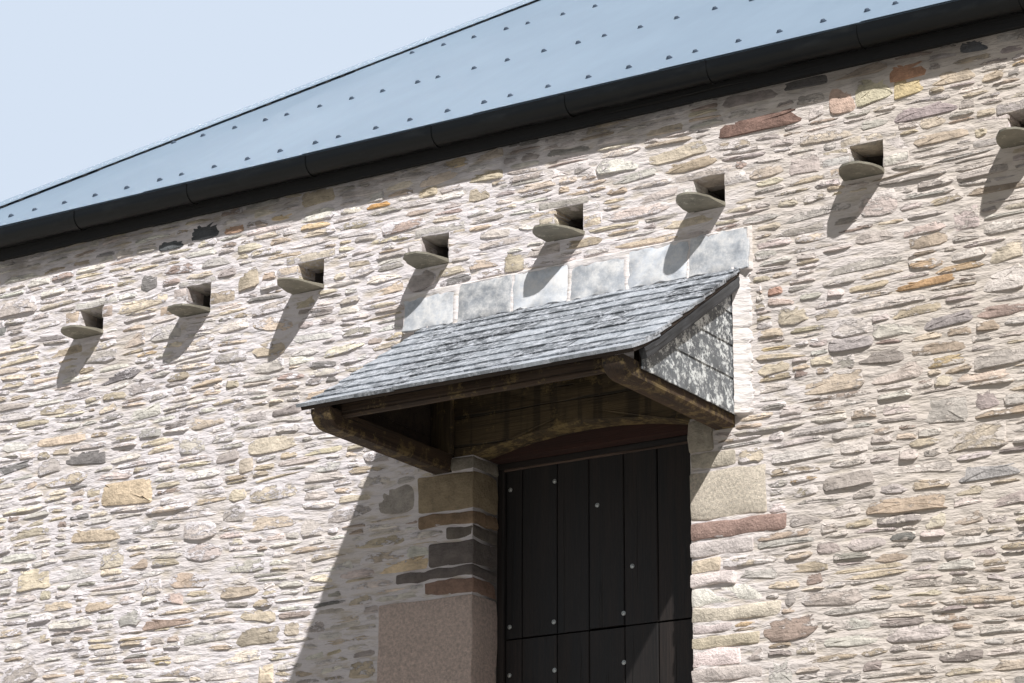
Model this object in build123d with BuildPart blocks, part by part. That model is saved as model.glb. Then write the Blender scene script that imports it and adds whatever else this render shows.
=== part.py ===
from build123d import *
import os
from math import atan2, cos, radians, sin, sqrt, tan

# A two-storey rubble-stone barn with a row of pigeon holes under its front eaves.
# Over the upper door stands a small slate hood on two cantilevered timber brackets.
# The frame is in millimetres: +X runs right along the front wall, +Y runs from the front
# wall to the rear wall, +Z is up. The origin is at ground level, in the middle of the
# building's own bounding box.

# Walls
building_length = 8400.0
building_depth = 5600.0
upper_wall = 600.0
joist_bearing = 100.0
joist_bearing_z = 2720.0
top_courses = 357.0

# Upper door, its masonry opening and its frame
door_width = 1070.0
door_head_z = 4650.0
upper_leaf_height = 754.0
frame_setback = 195.0
frame_jamb = 35.0
frame_head = 30.0
frame_depth = 90.0
frame_stop = 15.0
leaf_setback = 10.0
leaf_thickness = 26.0
leaf_clearance = 3.0
leaf_gap = 6.0
ledge_board_width = 120.0
ledge_board_thickness = 24.0
ledge_board_inset = 60.0
threshold_thickness = 80.0
threshold_nosing = 30.0
threshold_rounding = 10.0

# Lintels over the upper door
arch_rise = 65.0
lintel_height = 270.0
arched_lintel_depth = 120.0
inner_lintel_count = 3
lintel_gap = 4.0

# Ground-storey doorway
doorway_height = 2050.0
doorway_lintel_height = 200.0
doorway_lintel_bearing = 200.0
doorway_lintel_count = 4

# Upper floor
joist_width = 75.0
joist_depth = 200.0
joist_spacing = 560.0
floor_board_thickness = 30.0

# Pigeon holes: eleven, laid out by hand, so each is a little off the even spacing
hole_spacing = 690.0
hole_row_shift = -38.0
hole_laid_off = (0.0, 38.0, 8.0, -22.0, -22.0, -12.0, -7.0, 33.0, 33.0, -12.0, 6.0)
hole_width = 150.0
hole_height = 125.0
hole_depth = 450.0
band_over_hood = 270.0
perch_thickness = 25.0
perch_width = 195.0
perch_reach = 225.0
perch_shift = -12.0

# Hood over the upper door
hood_pitch = 33.4
hood_over_head = 663.0
hood_half_width = 800.0
hood_reach = 936.0
hood_bell_run = 236.0
hood_bell_lift = 22.0
hood_thickness = 35.0
hood_bracket_outer_x = 745.0
hood_bracket_width = 100.0
hood_bracket_height = 80.0
hood_bracket_setback = 36.0
hood_bracket_nose = 66.0
hood_bracket_tail = 300.0
cheek_thickness = 15.0
cheek_lap = 29.0
cheek_setback = 152.0
hood_beam_thickness = 75.0
hood_beam_setback = 116.0
hood_beam_height = 63.0
hood_rafter_width = 45.0
hood_inner_rafter_x = 240.0
flashing_count = 6
flashing_left_x = -907.0
flashing_right_x = 845.0
flashing_height = 165.0
flashing_gap = 6.0
flashing_top_thickness = 12.0
flashing_foot = 36.0
fillet_width = 85.0
fillet_depth = 38.0

# Main roof
roof_pitch = 36.0
eave_reach = 85.0
eave_over_wall = 143.5
sheet_depth = 30.0
purlin_size = 50.0
purlin_first = 220.0
purlin_spacing = 1050.0
purlin_rows = 4
rafter_width = 50.0
rafter_depth = 80.0
rafter_spacing = 840.0
rafter_foot_reach = 0.0
ridge_board_width = 32.0
ridge_board_depth = 160.0
wall_plate_height = 60.0
wall_plate_width = 100.0
cap_thickness = 8.0
cap_wing = 150.0
cap_lift = 22.0
closure_width = 20.0
closure_inset = 15.0
ridge_cut = 420.0

# Eaves
fascia_thickness = 25.0
fascia_height = 115.0
fascia_under_eave = 40.0
gutter_under_eave = 38.0
gutter_width = 111.0
gutter_side = 25.0
gutter_wall = 4.0
gutter_strap = 4.0
gutter_strap_width = 30.0
gutter_strap_spacing = 700.0

# Worked-out places
half_length = building_length / 2
half_depth = building_depth / 2
gutter_outer = rafter_foot_reach + fascia_thickness + 2 * gutter_strap + gutter_width
front_y = (hood_reach - building_depth - gutter_outer) / 2
rear_y = front_y + building_depth
centre_y = front_y + half_depth
inner_half_length = half_length - upper_wall
door_half = door_width / 2
floor_top_z = joist_bearing_z + joist_depth + floor_board_thickness
threshold_z = floor_top_z - threshold_thickness
lintel_z = door_head_z + frame_head
lintel_top_z = lintel_z + lintel_height
bracket_inner_x = hood_bracket_outer_x - hood_bracket_width
doorway_lintel_top_z = doorway_height + doorway_lintel_height
lower_wall = upper_wall + joist_bearing
door_split_z = door_head_z - upper_leaf_height
hood_top_z = door_head_z + hood_over_head
band_z = hood_top_z + band_over_hood
perch_top_z = band_z + perch_thickness
hole_top_z = perch_top_z + hole_height
wall_top_z = hole_top_z + top_courses
eave_top_z = wall_top_z + eave_over_wall
fascia_top_z = eave_top_z - fascia_under_eave
fascia_bottom_z = fascia_top_z - fascia_height
gutter_rim_z = eave_top_z - gutter_under_eave
roof_rise = tan(radians(roof_pitch))
roof_cos = cos(radians(roof_pitch))
roof_sin = sin(radians(roof_pitch))
hood_rise = tan(radians(hood_pitch))
hood_cos = cos(radians(hood_pitch))
hood_sin = sin(radians(hood_pitch))
ridge_z = eave_top_z + (eave_reach + half_depth) * roof_rise
ridge_half = half_length - half_depth
plan_margin = 400.0
plan_height = ridge_z + plan_margin
middle = len(hole_laid_off) // 2
hole_centres = [
    hole_row_shift + (i - middle) * hole_spacing + shift for i, shift in enumerate(hole_laid_off)
]


def hood_underside(out):
    """Height of the underside of the hood's straight slope at a distance from the wall."""
    return hood_top_z - out * hood_rise - hood_thickness / hood_cos


# The hood's section, as (distance out from the wall, height). Its last stretch is an arc that
# flattens towards the eave, and the brackets just reach the underside of the eave.
hood_break = (hood_reach - hood_bell_run, hood_top_z - (hood_reach - hood_bell_run) * hood_rise)
hood_tip = (hood_reach, hood_top_z - hood_reach * hood_rise + hood_bell_lift)
chord_pitch = atan2(hood_break[1] - hood_tip[1], hood_bell_run)
tip_pitch = 2 * chord_pitch - radians(hood_pitch)
hood_break_under = (hood_break[0] - hood_thickness * hood_sin, hood_break[1] - hood_thickness * hood_cos)
hood_tip_under = (
    hood_tip[0] - hood_thickness * sin(tip_pitch),
    hood_tip[1] - hood_thickness * cos(tip_pitch),
)
hood_bracket_reach = hood_reach - hood_bracket_setback
hood_bracket_top_z = hood_tip_under[1] + (hood_tip_under[0] - hood_bracket_reach) * tan(tip_pitch)
hood_bracket_z = hood_bracket_top_z - hood_bracket_height
cheek_z = hood_bracket_top_z - cheek_lap
cheek_reach = hood_reach - cheek_setback
hood_beam_outer = hood_reach - hood_beam_setback
hood_beam_inner = hood_beam_outer - hood_beam_thickness

os.makedirs("parts", exist_ok=True)


def keep(piece, name):
    """Label one finished piece and write its file."""
    piece.part.label = name
    export_step(piece.part, f"parts/{name}.step")


def block(low, high):
    """Add the box between two corners to the piece that is being made."""
    size = [b - a for a, b in zip(low, high)]
    with Locations(tuple(low)):
        return Box(*size, align=(Align.MIN, Align.MIN, Align.MIN))


def pocket(low, high):
    """Cut the box between two corners out of the piece that is being made."""
    size = [b - a for a, b in zip(low, high)]
    with Locations(tuple(low)):
        return Box(*size, align=(Align.MIN, Align.MIN, Align.MIN), mode=Mode.SUBTRACT)


# The front wall, ground storey: two slabs beside the doorway, its lintels and what they carry
for name, side in (("front_wall_lower_left", -1), ("front_wall_lower_right", 1)):
    outer, inner = side * half_length, side * door_half
    bearing = side * (door_half + doorway_lintel_bearing)
    with BuildPart() as wall:
        block((min(outer, inner), front_y, 0), (max(outer, inner), front_y + lower_wall, joist_bearing_z))
        pocket(
            (min(bearing, inner), front_y, doorway_height),
            (max(bearing, inner), front_y + lower_wall, doorway_lintel_top_z),
        )
    keep(wall, name)

lintel_pitch = (lower_wall + lintel_gap) / doorway_lintel_count
with BuildPart() as doorway_lintels:
    for i in range(doorway_lintel_count):
        start = front_y + i * lintel_pitch
        half = door_half + doorway_lintel_bearing
        block((-half, start, doorway_height), (half, start + lintel_pitch - lintel_gap, doorway_lintel_top_z))
keep(doorway_lintels, "doorway_lintels")

with BuildPart() as front_wall_over_doorway:
    block((-door_half, front_y, doorway_lintel_top_z), (door_half, front_y + lower_wall, joist_bearing_z))
    block((-door_half, front_y, joist_bearing_z), (door_half, front_y + upper_wall, threshold_z))
keep(front_wall_over_doorway, "front_wall_over_doorway")

# The front wall, upper storey, up to the bed of the pigeon holes. Each slab is notched for the
# lintels and has a pocket for the tail of a hood bracket.
for name, side in (("front_wall_upper_left", -1), ("front_wall_upper_right", 1)):
    outer, inner = side * half_length, side * door_half
    seat, bracket = side * bracket_inner_x, side * hood_bracket_outer_x
    with BuildPart() as wall:
        block(
            (min(outer, inner), front_y, joist_bearing_z),
            (max(outer, inner), front_y + upper_wall, band_z),
        )
        pocket((min(seat, inner), front_y, lintel_z), (max(seat, inner), front_y + upper_wall, lintel_top_z))
        pocket(
            (min(seat, bracket), front_y, hood_bracket_z),
            (max(seat, bracket), front_y + hood_bracket_tail, hood_bracket_z + hood_bracket_height),
        )
    keep(wall, name)

with BuildPart() as front_wall_over_upper_door:
    block((-door_half, front_y, lintel_top_z), (door_half, front_y + upper_wall, band_z))
keep(front_wall_over_upper_door, "front_wall_over_upper_door")

# The band of pigeon holes: piers between the holes, the back of the nests, slate perches,
# and the last courses of masonry over them
pier_edges = [-half_length]
for centre in hole_centres:
    pier_edges += [centre - hole_width / 2, centre + hole_width / 2]
pier_edges.append(half_length)
with BuildPart() as pigeon_hole_piers:
    for left, right in zip(pier_edges[0::2], pier_edges[1::2]):
        block((left, front_y, band_z), (right, front_y + hole_depth, hole_top_z))
keep(pigeon_hole_piers, "pigeon_hole_piers")

with BuildPart() as pigeon_hole_backing:
    block((-half_length, front_y + hole_depth, band_z), (half_length, front_y + upper_wall, hole_top_z))
keep(pigeon_hole_backing, "pigeon_hole_backing")

perch_nose = perch_reach - perch_width / 2
with BuildPart() as pigeon_perches:
    with BuildSketch(Plane.XY.offset(band_z)):
        with Locations(*[(centre + perch_shift, front_y - perch_nose) for centre in hole_centres]):
            Circle(perch_width / 2)
        with Locations(*[(centre + perch_shift, front_y) for centre in hole_centres]):
            Rectangle(perch_width, perch_nose, align=(Align.CENTER, Align.MAX))
            Rectangle(perch_width, perch_width, align=(Align.CENTER, Align.MIN), mode=Mode.SUBTRACT)
        with Locations(*[(centre, front_y) for centre in hole_centres]):
            Rectangle(hole_width, hole_depth, align=(Align.CENTER, Align.MIN))
    extrude(amount=perch_thickness)
keep(pigeon_perches, "pigeon_perches")

with BuildPart() as front_wall_top:
    block((-half_length, front_y, hole_top_z), (half_length, front_y + upper_wall, wall_top_z))
keep(front_wall_top, "front_wall_top")

# Rear and end walls, each in two storeys with the joists' bearing between them
with BuildPart() as rear_wall_lower:
    block((-half_length, rear_y - lower_wall, 0), (half_length, rear_y, joist_bearing_z))
keep(rear_wall_lower, "rear_wall_lower")

with BuildPart() as rear_wall_upper:
    block((-half_length, rear_y - upper_wall, joist_bearing_z), (half_length, rear_y, wall_top_z))
keep(rear_wall_upper, "rear_wall_upper")

for name, side in (("left_wall", -1), ("right_wall", 1)):
    outer = side * half_length
    lower_inner, upper_inner = outer - side * lower_wall, outer - side * upper_wall
    with BuildPart() as lower:
        block(
            (min(outer, lower_inner), front_y + lower_wall, 0),
            (max(outer, lower_inner), rear_y - lower_wall, joist_bearing_z),
        )
    keep(lower, f"{name}_lower")
    with BuildPart() as upper:
        block(
            (min(outer, upper_inner), front_y + upper_wall, joist_bearing_z),
            (max(outer, upper_inner), rear_y - upper_wall, wall_top_z),
        )
    keep(upper, f"{name}_upper")

# Upper floor: joists on the offset of the walls, boards on the joists
joist_pairs = int((inner_half_length - joist_width) // joist_spacing)
with BuildPart() as floor_joists:
    for i in range(-joist_pairs, joist_pairs + 1):
        middle_x = i * joist_spacing
        block(
            (middle_x - joist_width / 2, front_y + upper_wall, joist_bearing_z),
            (middle_x + joist_width / 2, rear_y - upper_wall, joist_bearing_z + joist_depth),
        )
keep(floor_joists, "floor_joists")

with BuildPart() as floor_boards:
    block(
        (-inner_half_length, front_y + upper_wall, joist_bearing_z + joist_depth),
        (inner_half_length, rear_y - upper_wall, floor_top_z),
    )
keep(floor_boards, "floor_boards")

# Upper doorway: stone threshold, cambered lintel in front, straight lintels behind it
with BuildPart() as door_threshold:
    block(
        (-door_half, front_y - threshold_nosing, threshold_z),
        (door_half, front_y + upper_wall, floor_top_z),
    )
    nose_edges = door_threshold.edges().filter_by(Axis.X).group_by(Axis.Y)[0]
    fillet(nose_edges.sort_by(Axis.Z)[-1], threshold_rounding)
keep(door_threshold, "door_threshold")

with BuildPart() as arched_lintel:
    with BuildSketch(Plane.XZ.offset(-front_y)):
        with BuildLine():
            ThreePointArc((-door_half, lintel_z), (0, lintel_z + arch_rise), (door_half, lintel_z))
            Polyline(
                (door_half, lintel_z),
                (bracket_inner_x, lintel_z),
                (bracket_inner_x, lintel_top_z),
                (-bracket_inner_x, lintel_top_z),
                (-bracket_inner_x, lintel_z),
                (-door_half, lintel_z),
            )
        make_face()
    extrude(amount=-arched_lintel_depth)
keep(arched_lintel, "arched_lintel")

inner_pitch = (upper_wall - arched_lintel_depth) / inner_lintel_count
with BuildPart() as inner_lintels:
    for i in range(inner_lintel_count):
        start = front_y + arched_lintel_depth + i * inner_pitch
        block(
            (-bracket_inner_x, start + lintel_gap, lintel_z),
            (bracket_inner_x, start + inner_pitch, lintel_top_z),
        )
keep(inner_lintels, "inner_lintels")

# Door frame with a stop behind the leaves, and the two leaves, each boarded over ledges
frame_y = front_y + frame_setback
leaf_y = frame_y + leaf_setback
stop_y = leaf_y + leaf_thickness
frame_back_y = frame_y + frame_depth
leaf_half = door_half - frame_jamb - leaf_clearance
with BuildPart() as door_frame:
    block((-door_half, frame_y, floor_top_z), (door_half, frame_back_y, lintel_z))
    pocket(
        (-door_half + frame_jamb, frame_y, floor_top_z),
        (door_half - frame_jamb, stop_y, door_head_z),
    )
    pocket(
        (-door_half + frame_jamb + frame_stop, stop_y, floor_top_z),
        (door_half - frame_jamb - frame_stop, frame_back_y, door_head_z - frame_stop),
    )
keep(door_frame, "door_frame")

leaf_spans = {
    "door_leaf_lower": (floor_top_z + leaf_gap, door_split_z - leaf_gap / 2),
    "door_leaf_upper": (door_split_z + leaf_gap / 2, door_head_z - leaf_clearance),
}
for name, (low_z, high_z) in leaf_spans.items():
    ledge_half = leaf_half - frame_stop - leaf_clearance
    with BuildPart() as leaf:
        block((-leaf_half, leaf_y, low_z), (leaf_half, stop_y, high_z))
        for ledge_z in (low_z + ledge_board_inset, high_z - ledge_board_inset - ledge_board_width):
            block(
                (-ledge_half, stop_y, ledge_z),
                (ledge_half, stop_y + ledge_board_thickness, ledge_z + ledge_board_width),
            )
    keep(leaf, name)

# Hood. Its section plane has x out from the wall's face and y up.
hood_section = Plane(origin=(0, front_y, 0), x_dir=(0, -1, 0), z_dir=(-1, 0, 0))
slope_direction = (hood_cos, -hood_sin)
with BuildPart() as hood_roof:
    with BuildSketch(hood_section):
        with BuildLine():
            Line((0, hood_top_z), hood_break)
            TangentArc(hood_break, hood_tip, tangent=slope_direction)
            Line(hood_tip, hood_tip_under)
            TangentArc(hood_break_under, hood_tip_under, tangent=slope_direction)
            Polyline(hood_break_under, (0, hood_underside(0)), (0, hood_top_z))
        make_face()
    extrude(amount=hood_half_width, both=True)
keep(hood_roof, "hood_roof")

with BuildPart() as hood_brackets:
    for side in (-1, 1):
        with BuildSketch(hood_section.offset(-side * (hood_bracket_outer_x - hood_bracket_width / 2))):
            with BuildLine():
                nose_start = (hood_bracket_reach - hood_bracket_nose, hood_bracket_z)
                nose_end = (hood_bracket_reach, hood_bracket_z + hood_bracket_nose)
                TangentArc(nose_start, nose_end, tangent=(1, 0))
                Polyline(
                    nose_end,
                    (hood_bracket_reach, hood_bracket_top_z),
                    (-hood_bracket_tail, hood_bracket_top_z),
                    (-hood_bracket_tail, hood_bracket_z),
                    nose_start,
                )
            make_face()
        extrude(amount=hood_bracket_width / 2, both=True)
keep(hood_brackets, "hood_brackets")

hood_beam_top_z = hood_underside(hood_beam_outer)
with BuildPart() as hood_front_beam:
    block(
        (-bracket_inner_x, front_y - hood_beam_outer, hood_beam_top_z - hood_beam_height),
        (bracket_inner_x, front_y - hood_beam_inner, hood_beam_top_z),
    )
keep(hood_front_beam, "hood_front_beam")

rafter_lines = (
    -(hood_bracket_outer_x - hood_rafter_width / 2),
    -hood_inner_rafter_x,
    hood_inner_rafter_x,
    hood_bracket_outer_x - hood_rafter_width / 2,
)
rafter_drop = hood_underside(hood_beam_inner) - hood_bracket_top_z
with BuildPart() as hood_rafters:
    with BuildSketch(*[hood_section.offset(x) for x in rafter_lines]):
        with BuildLine():
            Polyline(
                (0, hood_underside(0)),
                (hood_beam_inner, hood_underside(hood_beam_inner)),
                (hood_beam_inner, hood_underside(hood_beam_inner) - rafter_drop),
                (0, hood_underside(0) - rafter_drop),
                close=True,
            )
        make_face()
    extrude(amount=hood_rafter_width / 2, both=True)
keep(hood_rafters, "hood_rafters")

cheek_outer_x = hood_bracket_outer_x + cheek_thickness
with BuildPart() as hood_cheeks:
    for side in (-1, 1):
        with BuildSketch(hood_section.offset(-side * (cheek_outer_x - cheek_thickness / 2))):
            with BuildLine():
                Polyline(
                    (0, cheek_z),
                    (cheek_reach, cheek_z),
                    (cheek_reach, hood_underside(cheek_reach)),
                    (0, hood_underside(0)),
                    close=True,
                )
            make_face()
        extrude(amount=cheek_thickness / 2, both=True)
keep(hood_cheeks, "hood_cheeks")

flashing_pitch = (flashing_right_x - flashing_left_x + flashing_gap) / flashing_count
flashing_half = (flashing_pitch - flashing_gap) / 2
with BuildPart() as hood_flashing:
    for i in range(flashing_count):
        slate_x = flashing_left_x + i * flashing_pitch + flashing_half
        with BuildSketch(hood_section.offset(-slate_x)):
            with BuildLine():
                Polyline(
                    (0, hood_top_z),
                    (flashing_foot, hood_top_z),
                    (flashing_top_thickness, hood_top_z + flashing_height),
                    (0, hood_top_z + flashing_height),
                    close=True,
                )
            make_face()
        extrude(amount=flashing_half, both=True)
keep(hood_flashing, "hood_flashing")

with BuildPart() as hood_mortar_fillets:
    for side in (-1, 1):
        with BuildSketch(Plane.XY.offset(cheek_z)):
            with BuildLine():
                Polyline(
                    (side * cheek_outer_x, front_y),
                    (side * (cheek_outer_x + fillet_width), front_y),
                    (side * cheek_outer_x, front_y - fillet_depth),
                    close=True,
                )
            make_face()
        extrude(amount=hood_underside(fillet_depth) - cheek_z)
keep(hood_mortar_fillets, "hood_mortar_fillets")


# Main roof. The four slopes, their timbers, the fascias and the gutters all run round the
# building and meet on the vertical mitre planes at its corners. A side holds its section
# plane, with x out from the wall's face and y up, its half length and its piece of the plan.
class Side:
    """One side of the building, as the roof and the eaves see it."""

    def __init__(self, middle_point, outward, length, plan):
        out = Vector(*outward)
        self.plane = Plane(origin=middle_point, x_dir=out, z_dir=out.cross(Vector(0, 0, 1)))
        self.half = length / 2
        self.plan = plan


far_x = half_length + plan_margin
far_front_y = front_y - plan_margin
far_rear_y = rear_y + plan_margin
front_side = Side(
    (0, front_y, 0),
    (0, -1, 0),
    building_length,
    [(-far_x, far_front_y), (far_x, far_front_y), (ridge_half, centre_y), (-ridge_half, centre_y)],
)
rear_side = Side(
    (0, rear_y, 0),
    (0, 1, 0),
    building_length,
    [(-far_x, far_rear_y), (far_x, far_rear_y), (ridge_half, centre_y), (-ridge_half, centre_y)],
)
left_side = Side(
    (-half_length, centre_y, 0),
    (-1, 0, 0),
    building_depth,
    [(-far_x, far_front_y), (-far_x, far_rear_y), (-ridge_half, centre_y)],
)
right_side = Side(
    (half_length, centre_y, 0),
    (1, 0, 0),
    building_depth,
    [(far_x, far_front_y), (far_x, far_rear_y), (ridge_half, centre_y)],
)
sides = {"front": front_side, "rear": rear_side, "left": left_side, "right": right_side}


def mitred(side, section, stations=(0.0,), half_width=None, plan=None):
    """One side's run of a section, cut to its piece of the plan."""
    with BuildPart() as run:
        with BuildSketch(*[side.plane.offset(station) for station in stations]):
            add(section)
        extrude(amount=half_width or side.half + plan_margin, both=True)
        with BuildSketch():
            with BuildLine():
                Polyline(*(plan or side.plan), close=True)
            make_face()
        extrude(amount=plan_height, mode=Mode.INTERSECT)
    return run.part


def roof_top(out):
    """Height of the roof's top surface at a distance out from the wall's face."""
    return eave_top_z + (eave_reach - out) * roof_rise


def band_section(outer, above, below):
    """Section of a layer that follows the roof up to the ridge; above and below are measured
    square to the slope from the roof's top surface."""
    up, down = above / roof_cos, below / roof_cos
    with BuildSketch() as layer:
        with BuildLine():
            Polyline(
                (outer, roof_top(outer) + up),
                (-half_depth, roof_top(-half_depth) + up),
                (-half_depth, roof_top(-half_depth) - down),
                (outer, roof_top(outer) - down),
                close=True,
            )
        make_face()
    return layer.sketch


sheet_section = band_section(eave_reach, 0, sheet_depth)
for name, side in sides.items():
    slope = mitred(side, sheet_section)
    with BuildPart() as roof_slope:
        add(slope)
    keep(roof_slope, f"{name}_roof_slope")

# Purlins, in rings that follow the fixing rows of the sheets
purlin_places = []
for row in range(purlin_rows):
    along = purlin_first + row * purlin_spacing
    square = sheet_depth + purlin_size / 2
    purlin_places.append(
        (
            eave_reach - along * roof_cos - square * roof_sin,
            eave_top_z + along * roof_sin - square * roof_cos,
        )
    )
with BuildSketch() as purlin_section:
    with Locations(*purlin_places):
        Rectangle(purlin_size, purlin_size, rotation=-roof_pitch)
purlin_runs = [mitred(side, purlin_section.sketch) for side in sides.values()]
with BuildPart() as purlins:
    add(purlin_runs)
keep(purlins, "purlins")

# Rafters, hip rafters and the ridge board, spiked together into one frame
rafter_top = sheet_depth + purlin_size
rafter_bottom = rafter_top + rafter_depth
with BuildSketch() as rafter_section:
    with BuildLine():
        Polyline(
            (rafter_foot_reach, roof_top(rafter_foot_reach) - rafter_top / roof_cos),
            (-half_depth, roof_top(-half_depth) - rafter_top / roof_cos),
            (-half_depth, roof_top(-half_depth) - rafter_bottom / roof_cos),
            (rafter_foot_reach, roof_top(rafter_foot_reach) - rafter_bottom / roof_cos),
            close=True,
        )
    make_face()


def rafter_runs(side):
    """Common and jack rafters of one side."""
    pairs = int((side.half - rafter_width) // rafter_spacing)
    stations = [i * rafter_spacing for i in range(-pairs, pairs + 1)]
    return mitred(side, rafter_section.sketch, stations, rafter_width / 2)


frame_runs = [rafter_runs(side) for side in sides.values()]
hip_drop = rafter_width / 2 * roof_rise / sqrt(2)
corners = [(x, y) for x in (-1, 1) for y in (-1, 1)]
rafter_head_z = roof_top(-half_depth) - rafter_top / roof_cos
with BuildPart() as rafters:
    add(frame_runs)
    block(
        (-ridge_half, centre_y - ridge_board_width / 2, rafter_head_z - ridge_board_depth),
        (ridge_half, centre_y + ridge_board_width / 2, rafter_head_z - hip_drop),
    )
    for x_hand, y_hand in corners:
        outward = Vector(x_hand, y_hand, 0).normalized()
        corner = (x_hand * half_length, centre_y + y_hand * half_depth, 0)
        hip_plane = Plane(origin=corner, x_dir=outward, z_dir=outward.cross(Vector(0, 0, 1)))
        with BuildSketch(hip_plane):
            with BuildLine():
                foot, head = rafter_foot_reach - rafter_width, -half_depth
                foot_z = roof_top(foot) - rafter_top / roof_cos - hip_drop
                head_z = roof_top(head) - rafter_top / roof_cos - hip_drop
                hip_depth = rafter_depth / roof_cos - hip_drop
                Polyline(
                    (foot * sqrt(2), foot_z),
                    (head * sqrt(2), head_z),
                    (head * sqrt(2), head_z - hip_depth),
                    (foot * sqrt(2), foot_z - hip_depth),
                    close=True,
                )
            make_face()
        extrude(amount=rafter_width / 2, both=True)
keep(rafters, "rafters")

# Wall plates: their outer top edge carries the rafters
plate_top_z = wall_top_z + wall_plate_height
rafter_underside_at_face = roof_top(0) - rafter_bottom / roof_cos
plate_inset = (plate_top_z - rafter_underside_at_face) / roof_rise
with BuildPart() as wall_plates:
    with BuildSketch(Plane.XY.offset(wall_top_z)):
        with Locations((0, centre_y)):
            Rectangle(building_length - 2 * plate_inset, building_depth - 2 * plate_inset)
            Rectangle(
                building_length - 2 * (plate_inset + wall_plate_width),
                building_depth - 2 * (plate_inset + wall_plate_width),
                mode=Mode.SUBTRACT,
            )
    extrude(amount=wall_plate_height)
keep(wall_plates, "wall_plates")


# Folded caps over the hips and the ridge. Each cap is a pair of wings that stand on closure
# strips, which lie on the two slopes along the wings' outer edges.
closure_near = cap_wing - closure_inset - closure_width
closure_far = cap_wing - closure_inset


def hip_band(x_hand, y_hand, along_x, near, far):
    """Plan of a strip beside a hip, between two distances from it."""
    corner = (x_hand * (half_length + eave_reach), centre_y + y_hand * (half_depth + eave_reach))
    top = (x_hand * ridge_half, centre_y)
    step = (-x_hand, 0) if along_x else (0, -y_hand)
    return [
        (point[0] + step[0] * away, point[1] + step[1] * away)
        for point, away in ((corner, near), (top, near), (top, far), (corner, far))
    ]


cap_top = cap_lift + cap_thickness
cap_section = band_section(eave_reach, cap_top, -cap_lift)
closure_section = band_section(eave_reach, cap_lift, 0)
hip_wings, hip_closures = [], []
for x_hand, y_hand in corners:
    long_side = rear_side if y_hand > 0 else front_side
    short_side = right_side if x_hand > 0 else left_side
    for side, along_x in ((long_side, True), (short_side, False)):
        wing_plan = hip_band(x_hand, y_hand, along_x, 0, cap_wing)
        closure_plan = hip_band(x_hand, y_hand, along_x, closure_near, closure_far)
        hip_wings.append(mitred(side, cap_section, plan=wing_plan))
        hip_closures.append(mitred(side, closure_section, plan=closure_plan))
with BuildPart() as hip_caps:
    add(hip_wings)
    add(hip_closures)
    with Locations((0, centre_y, ridge_z)):
        Box(2 * ridge_half, ridge_cut, ridge_cut, mode=Mode.SUBTRACT)
keep(hip_caps, "hip_caps")

ridge_strips = (
    (0, cap_wing, cap_lift / roof_cos, cap_top / roof_cos),
    (closure_near, closure_far, 0, cap_lift / roof_cos),
)
with BuildPart() as ridge_cap:
    with BuildSketch(Plane.YZ):
        for near, far, foot, head in ridge_strips:
            for hand in (-1, 1):
                near_z, far_z = ridge_z - near * roof_rise, ridge_z - far * roof_rise
                with BuildLine():
                    Polyline(
                        (centre_y + hand * near, near_z + foot),
                        (centre_y + hand * far, far_z + foot),
                        (centre_y + hand * far, far_z + head),
                        (centre_y + hand * near, near_z + head),
                        close=True,
                    )
                make_face()
    extrude(amount=ridge_half, both=True)
keep(ridge_cap, "ridge_cap")

# Eaves: fascias on the rafter feet, and half-round gutters in straps on the fascias
with BuildPart() as fascias:
    with BuildSketch(Plane.XY.offset(fascia_bottom_z)):
        with Locations((0, centre_y)):
            fascia_out = rafter_foot_reach + fascia_thickness
            Rectangle(building_length + 2 * fascia_out, building_depth + 2 * fascia_out)
            Rectangle(
                building_length + 2 * rafter_foot_reach,
                building_depth + 2 * rafter_foot_reach,
                mode=Mode.SUBTRACT,
            )
    extrude(amount=fascia_top_z - fascia_bottom_z)
keep(fascias, "fascias")

gutter_radius = gutter_width / 2
gutter_centre = fascia_out + gutter_strap + gutter_radius
gutter_centre_z = gutter_rim_z - gutter_side


def trough(outer_radius, thickness):
    """Section of a half-round trough with short straight sides."""
    with BuildSketch() as section:
        for radius, mode in ((outer_radius, Mode.ADD), (outer_radius - thickness, Mode.SUBTRACT)):
            with Locations((gutter_centre, gutter_centre_z)):
                Circle(radius, mode=mode)
                Rectangle(2 * radius, gutter_side, align=(Align.CENTER, Align.MIN), mode=mode)
        with Locations((gutter_centre, gutter_rim_z)):
            Rectangle(2 * gutter_width, gutter_width, align=(Align.CENTER, Align.MIN), mode=Mode.SUBTRACT)
    return section.sketch


gutter_section = trough(gutter_radius, gutter_wall)
gutter_runs = [mitred(side, gutter_section) for side in sides.values()]
with BuildPart() as gutters:
    add(gutter_runs)
keep(gutters, "gutters")

strap_section = trough(gutter_radius + gutter_strap, gutter_strap)
strap_runs = []
for side in sides.values():
    strap_pairs = int(side.half // gutter_strap_spacing)
    strap_stations = [i * gutter_strap_spacing for i in range(-strap_pairs, strap_pairs + 1)]
    strap_runs.append(mitred(side, strap_section, strap_stations, gutter_strap_width / 2))
with BuildPart() as gutter_brackets:
    add(strap_runs)
keep(gutter_brackets, "gutter_brackets")
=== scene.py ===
# A two-storey rubble-stone barn with pigeon holes under its front eaves and a slate hood over
# its upper door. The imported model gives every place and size; this script lays the stones,
# slates, boards and sheets over it and gives each piece its finish. Lengths are in metres.

import logging
import math
from dataclasses import dataclass, field
from enum import Enum
from itertools import product
from typing import Callable, Iterable, Sequence

import bpy
import numpy as np
from mathutils import Matrix, Vector


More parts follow.
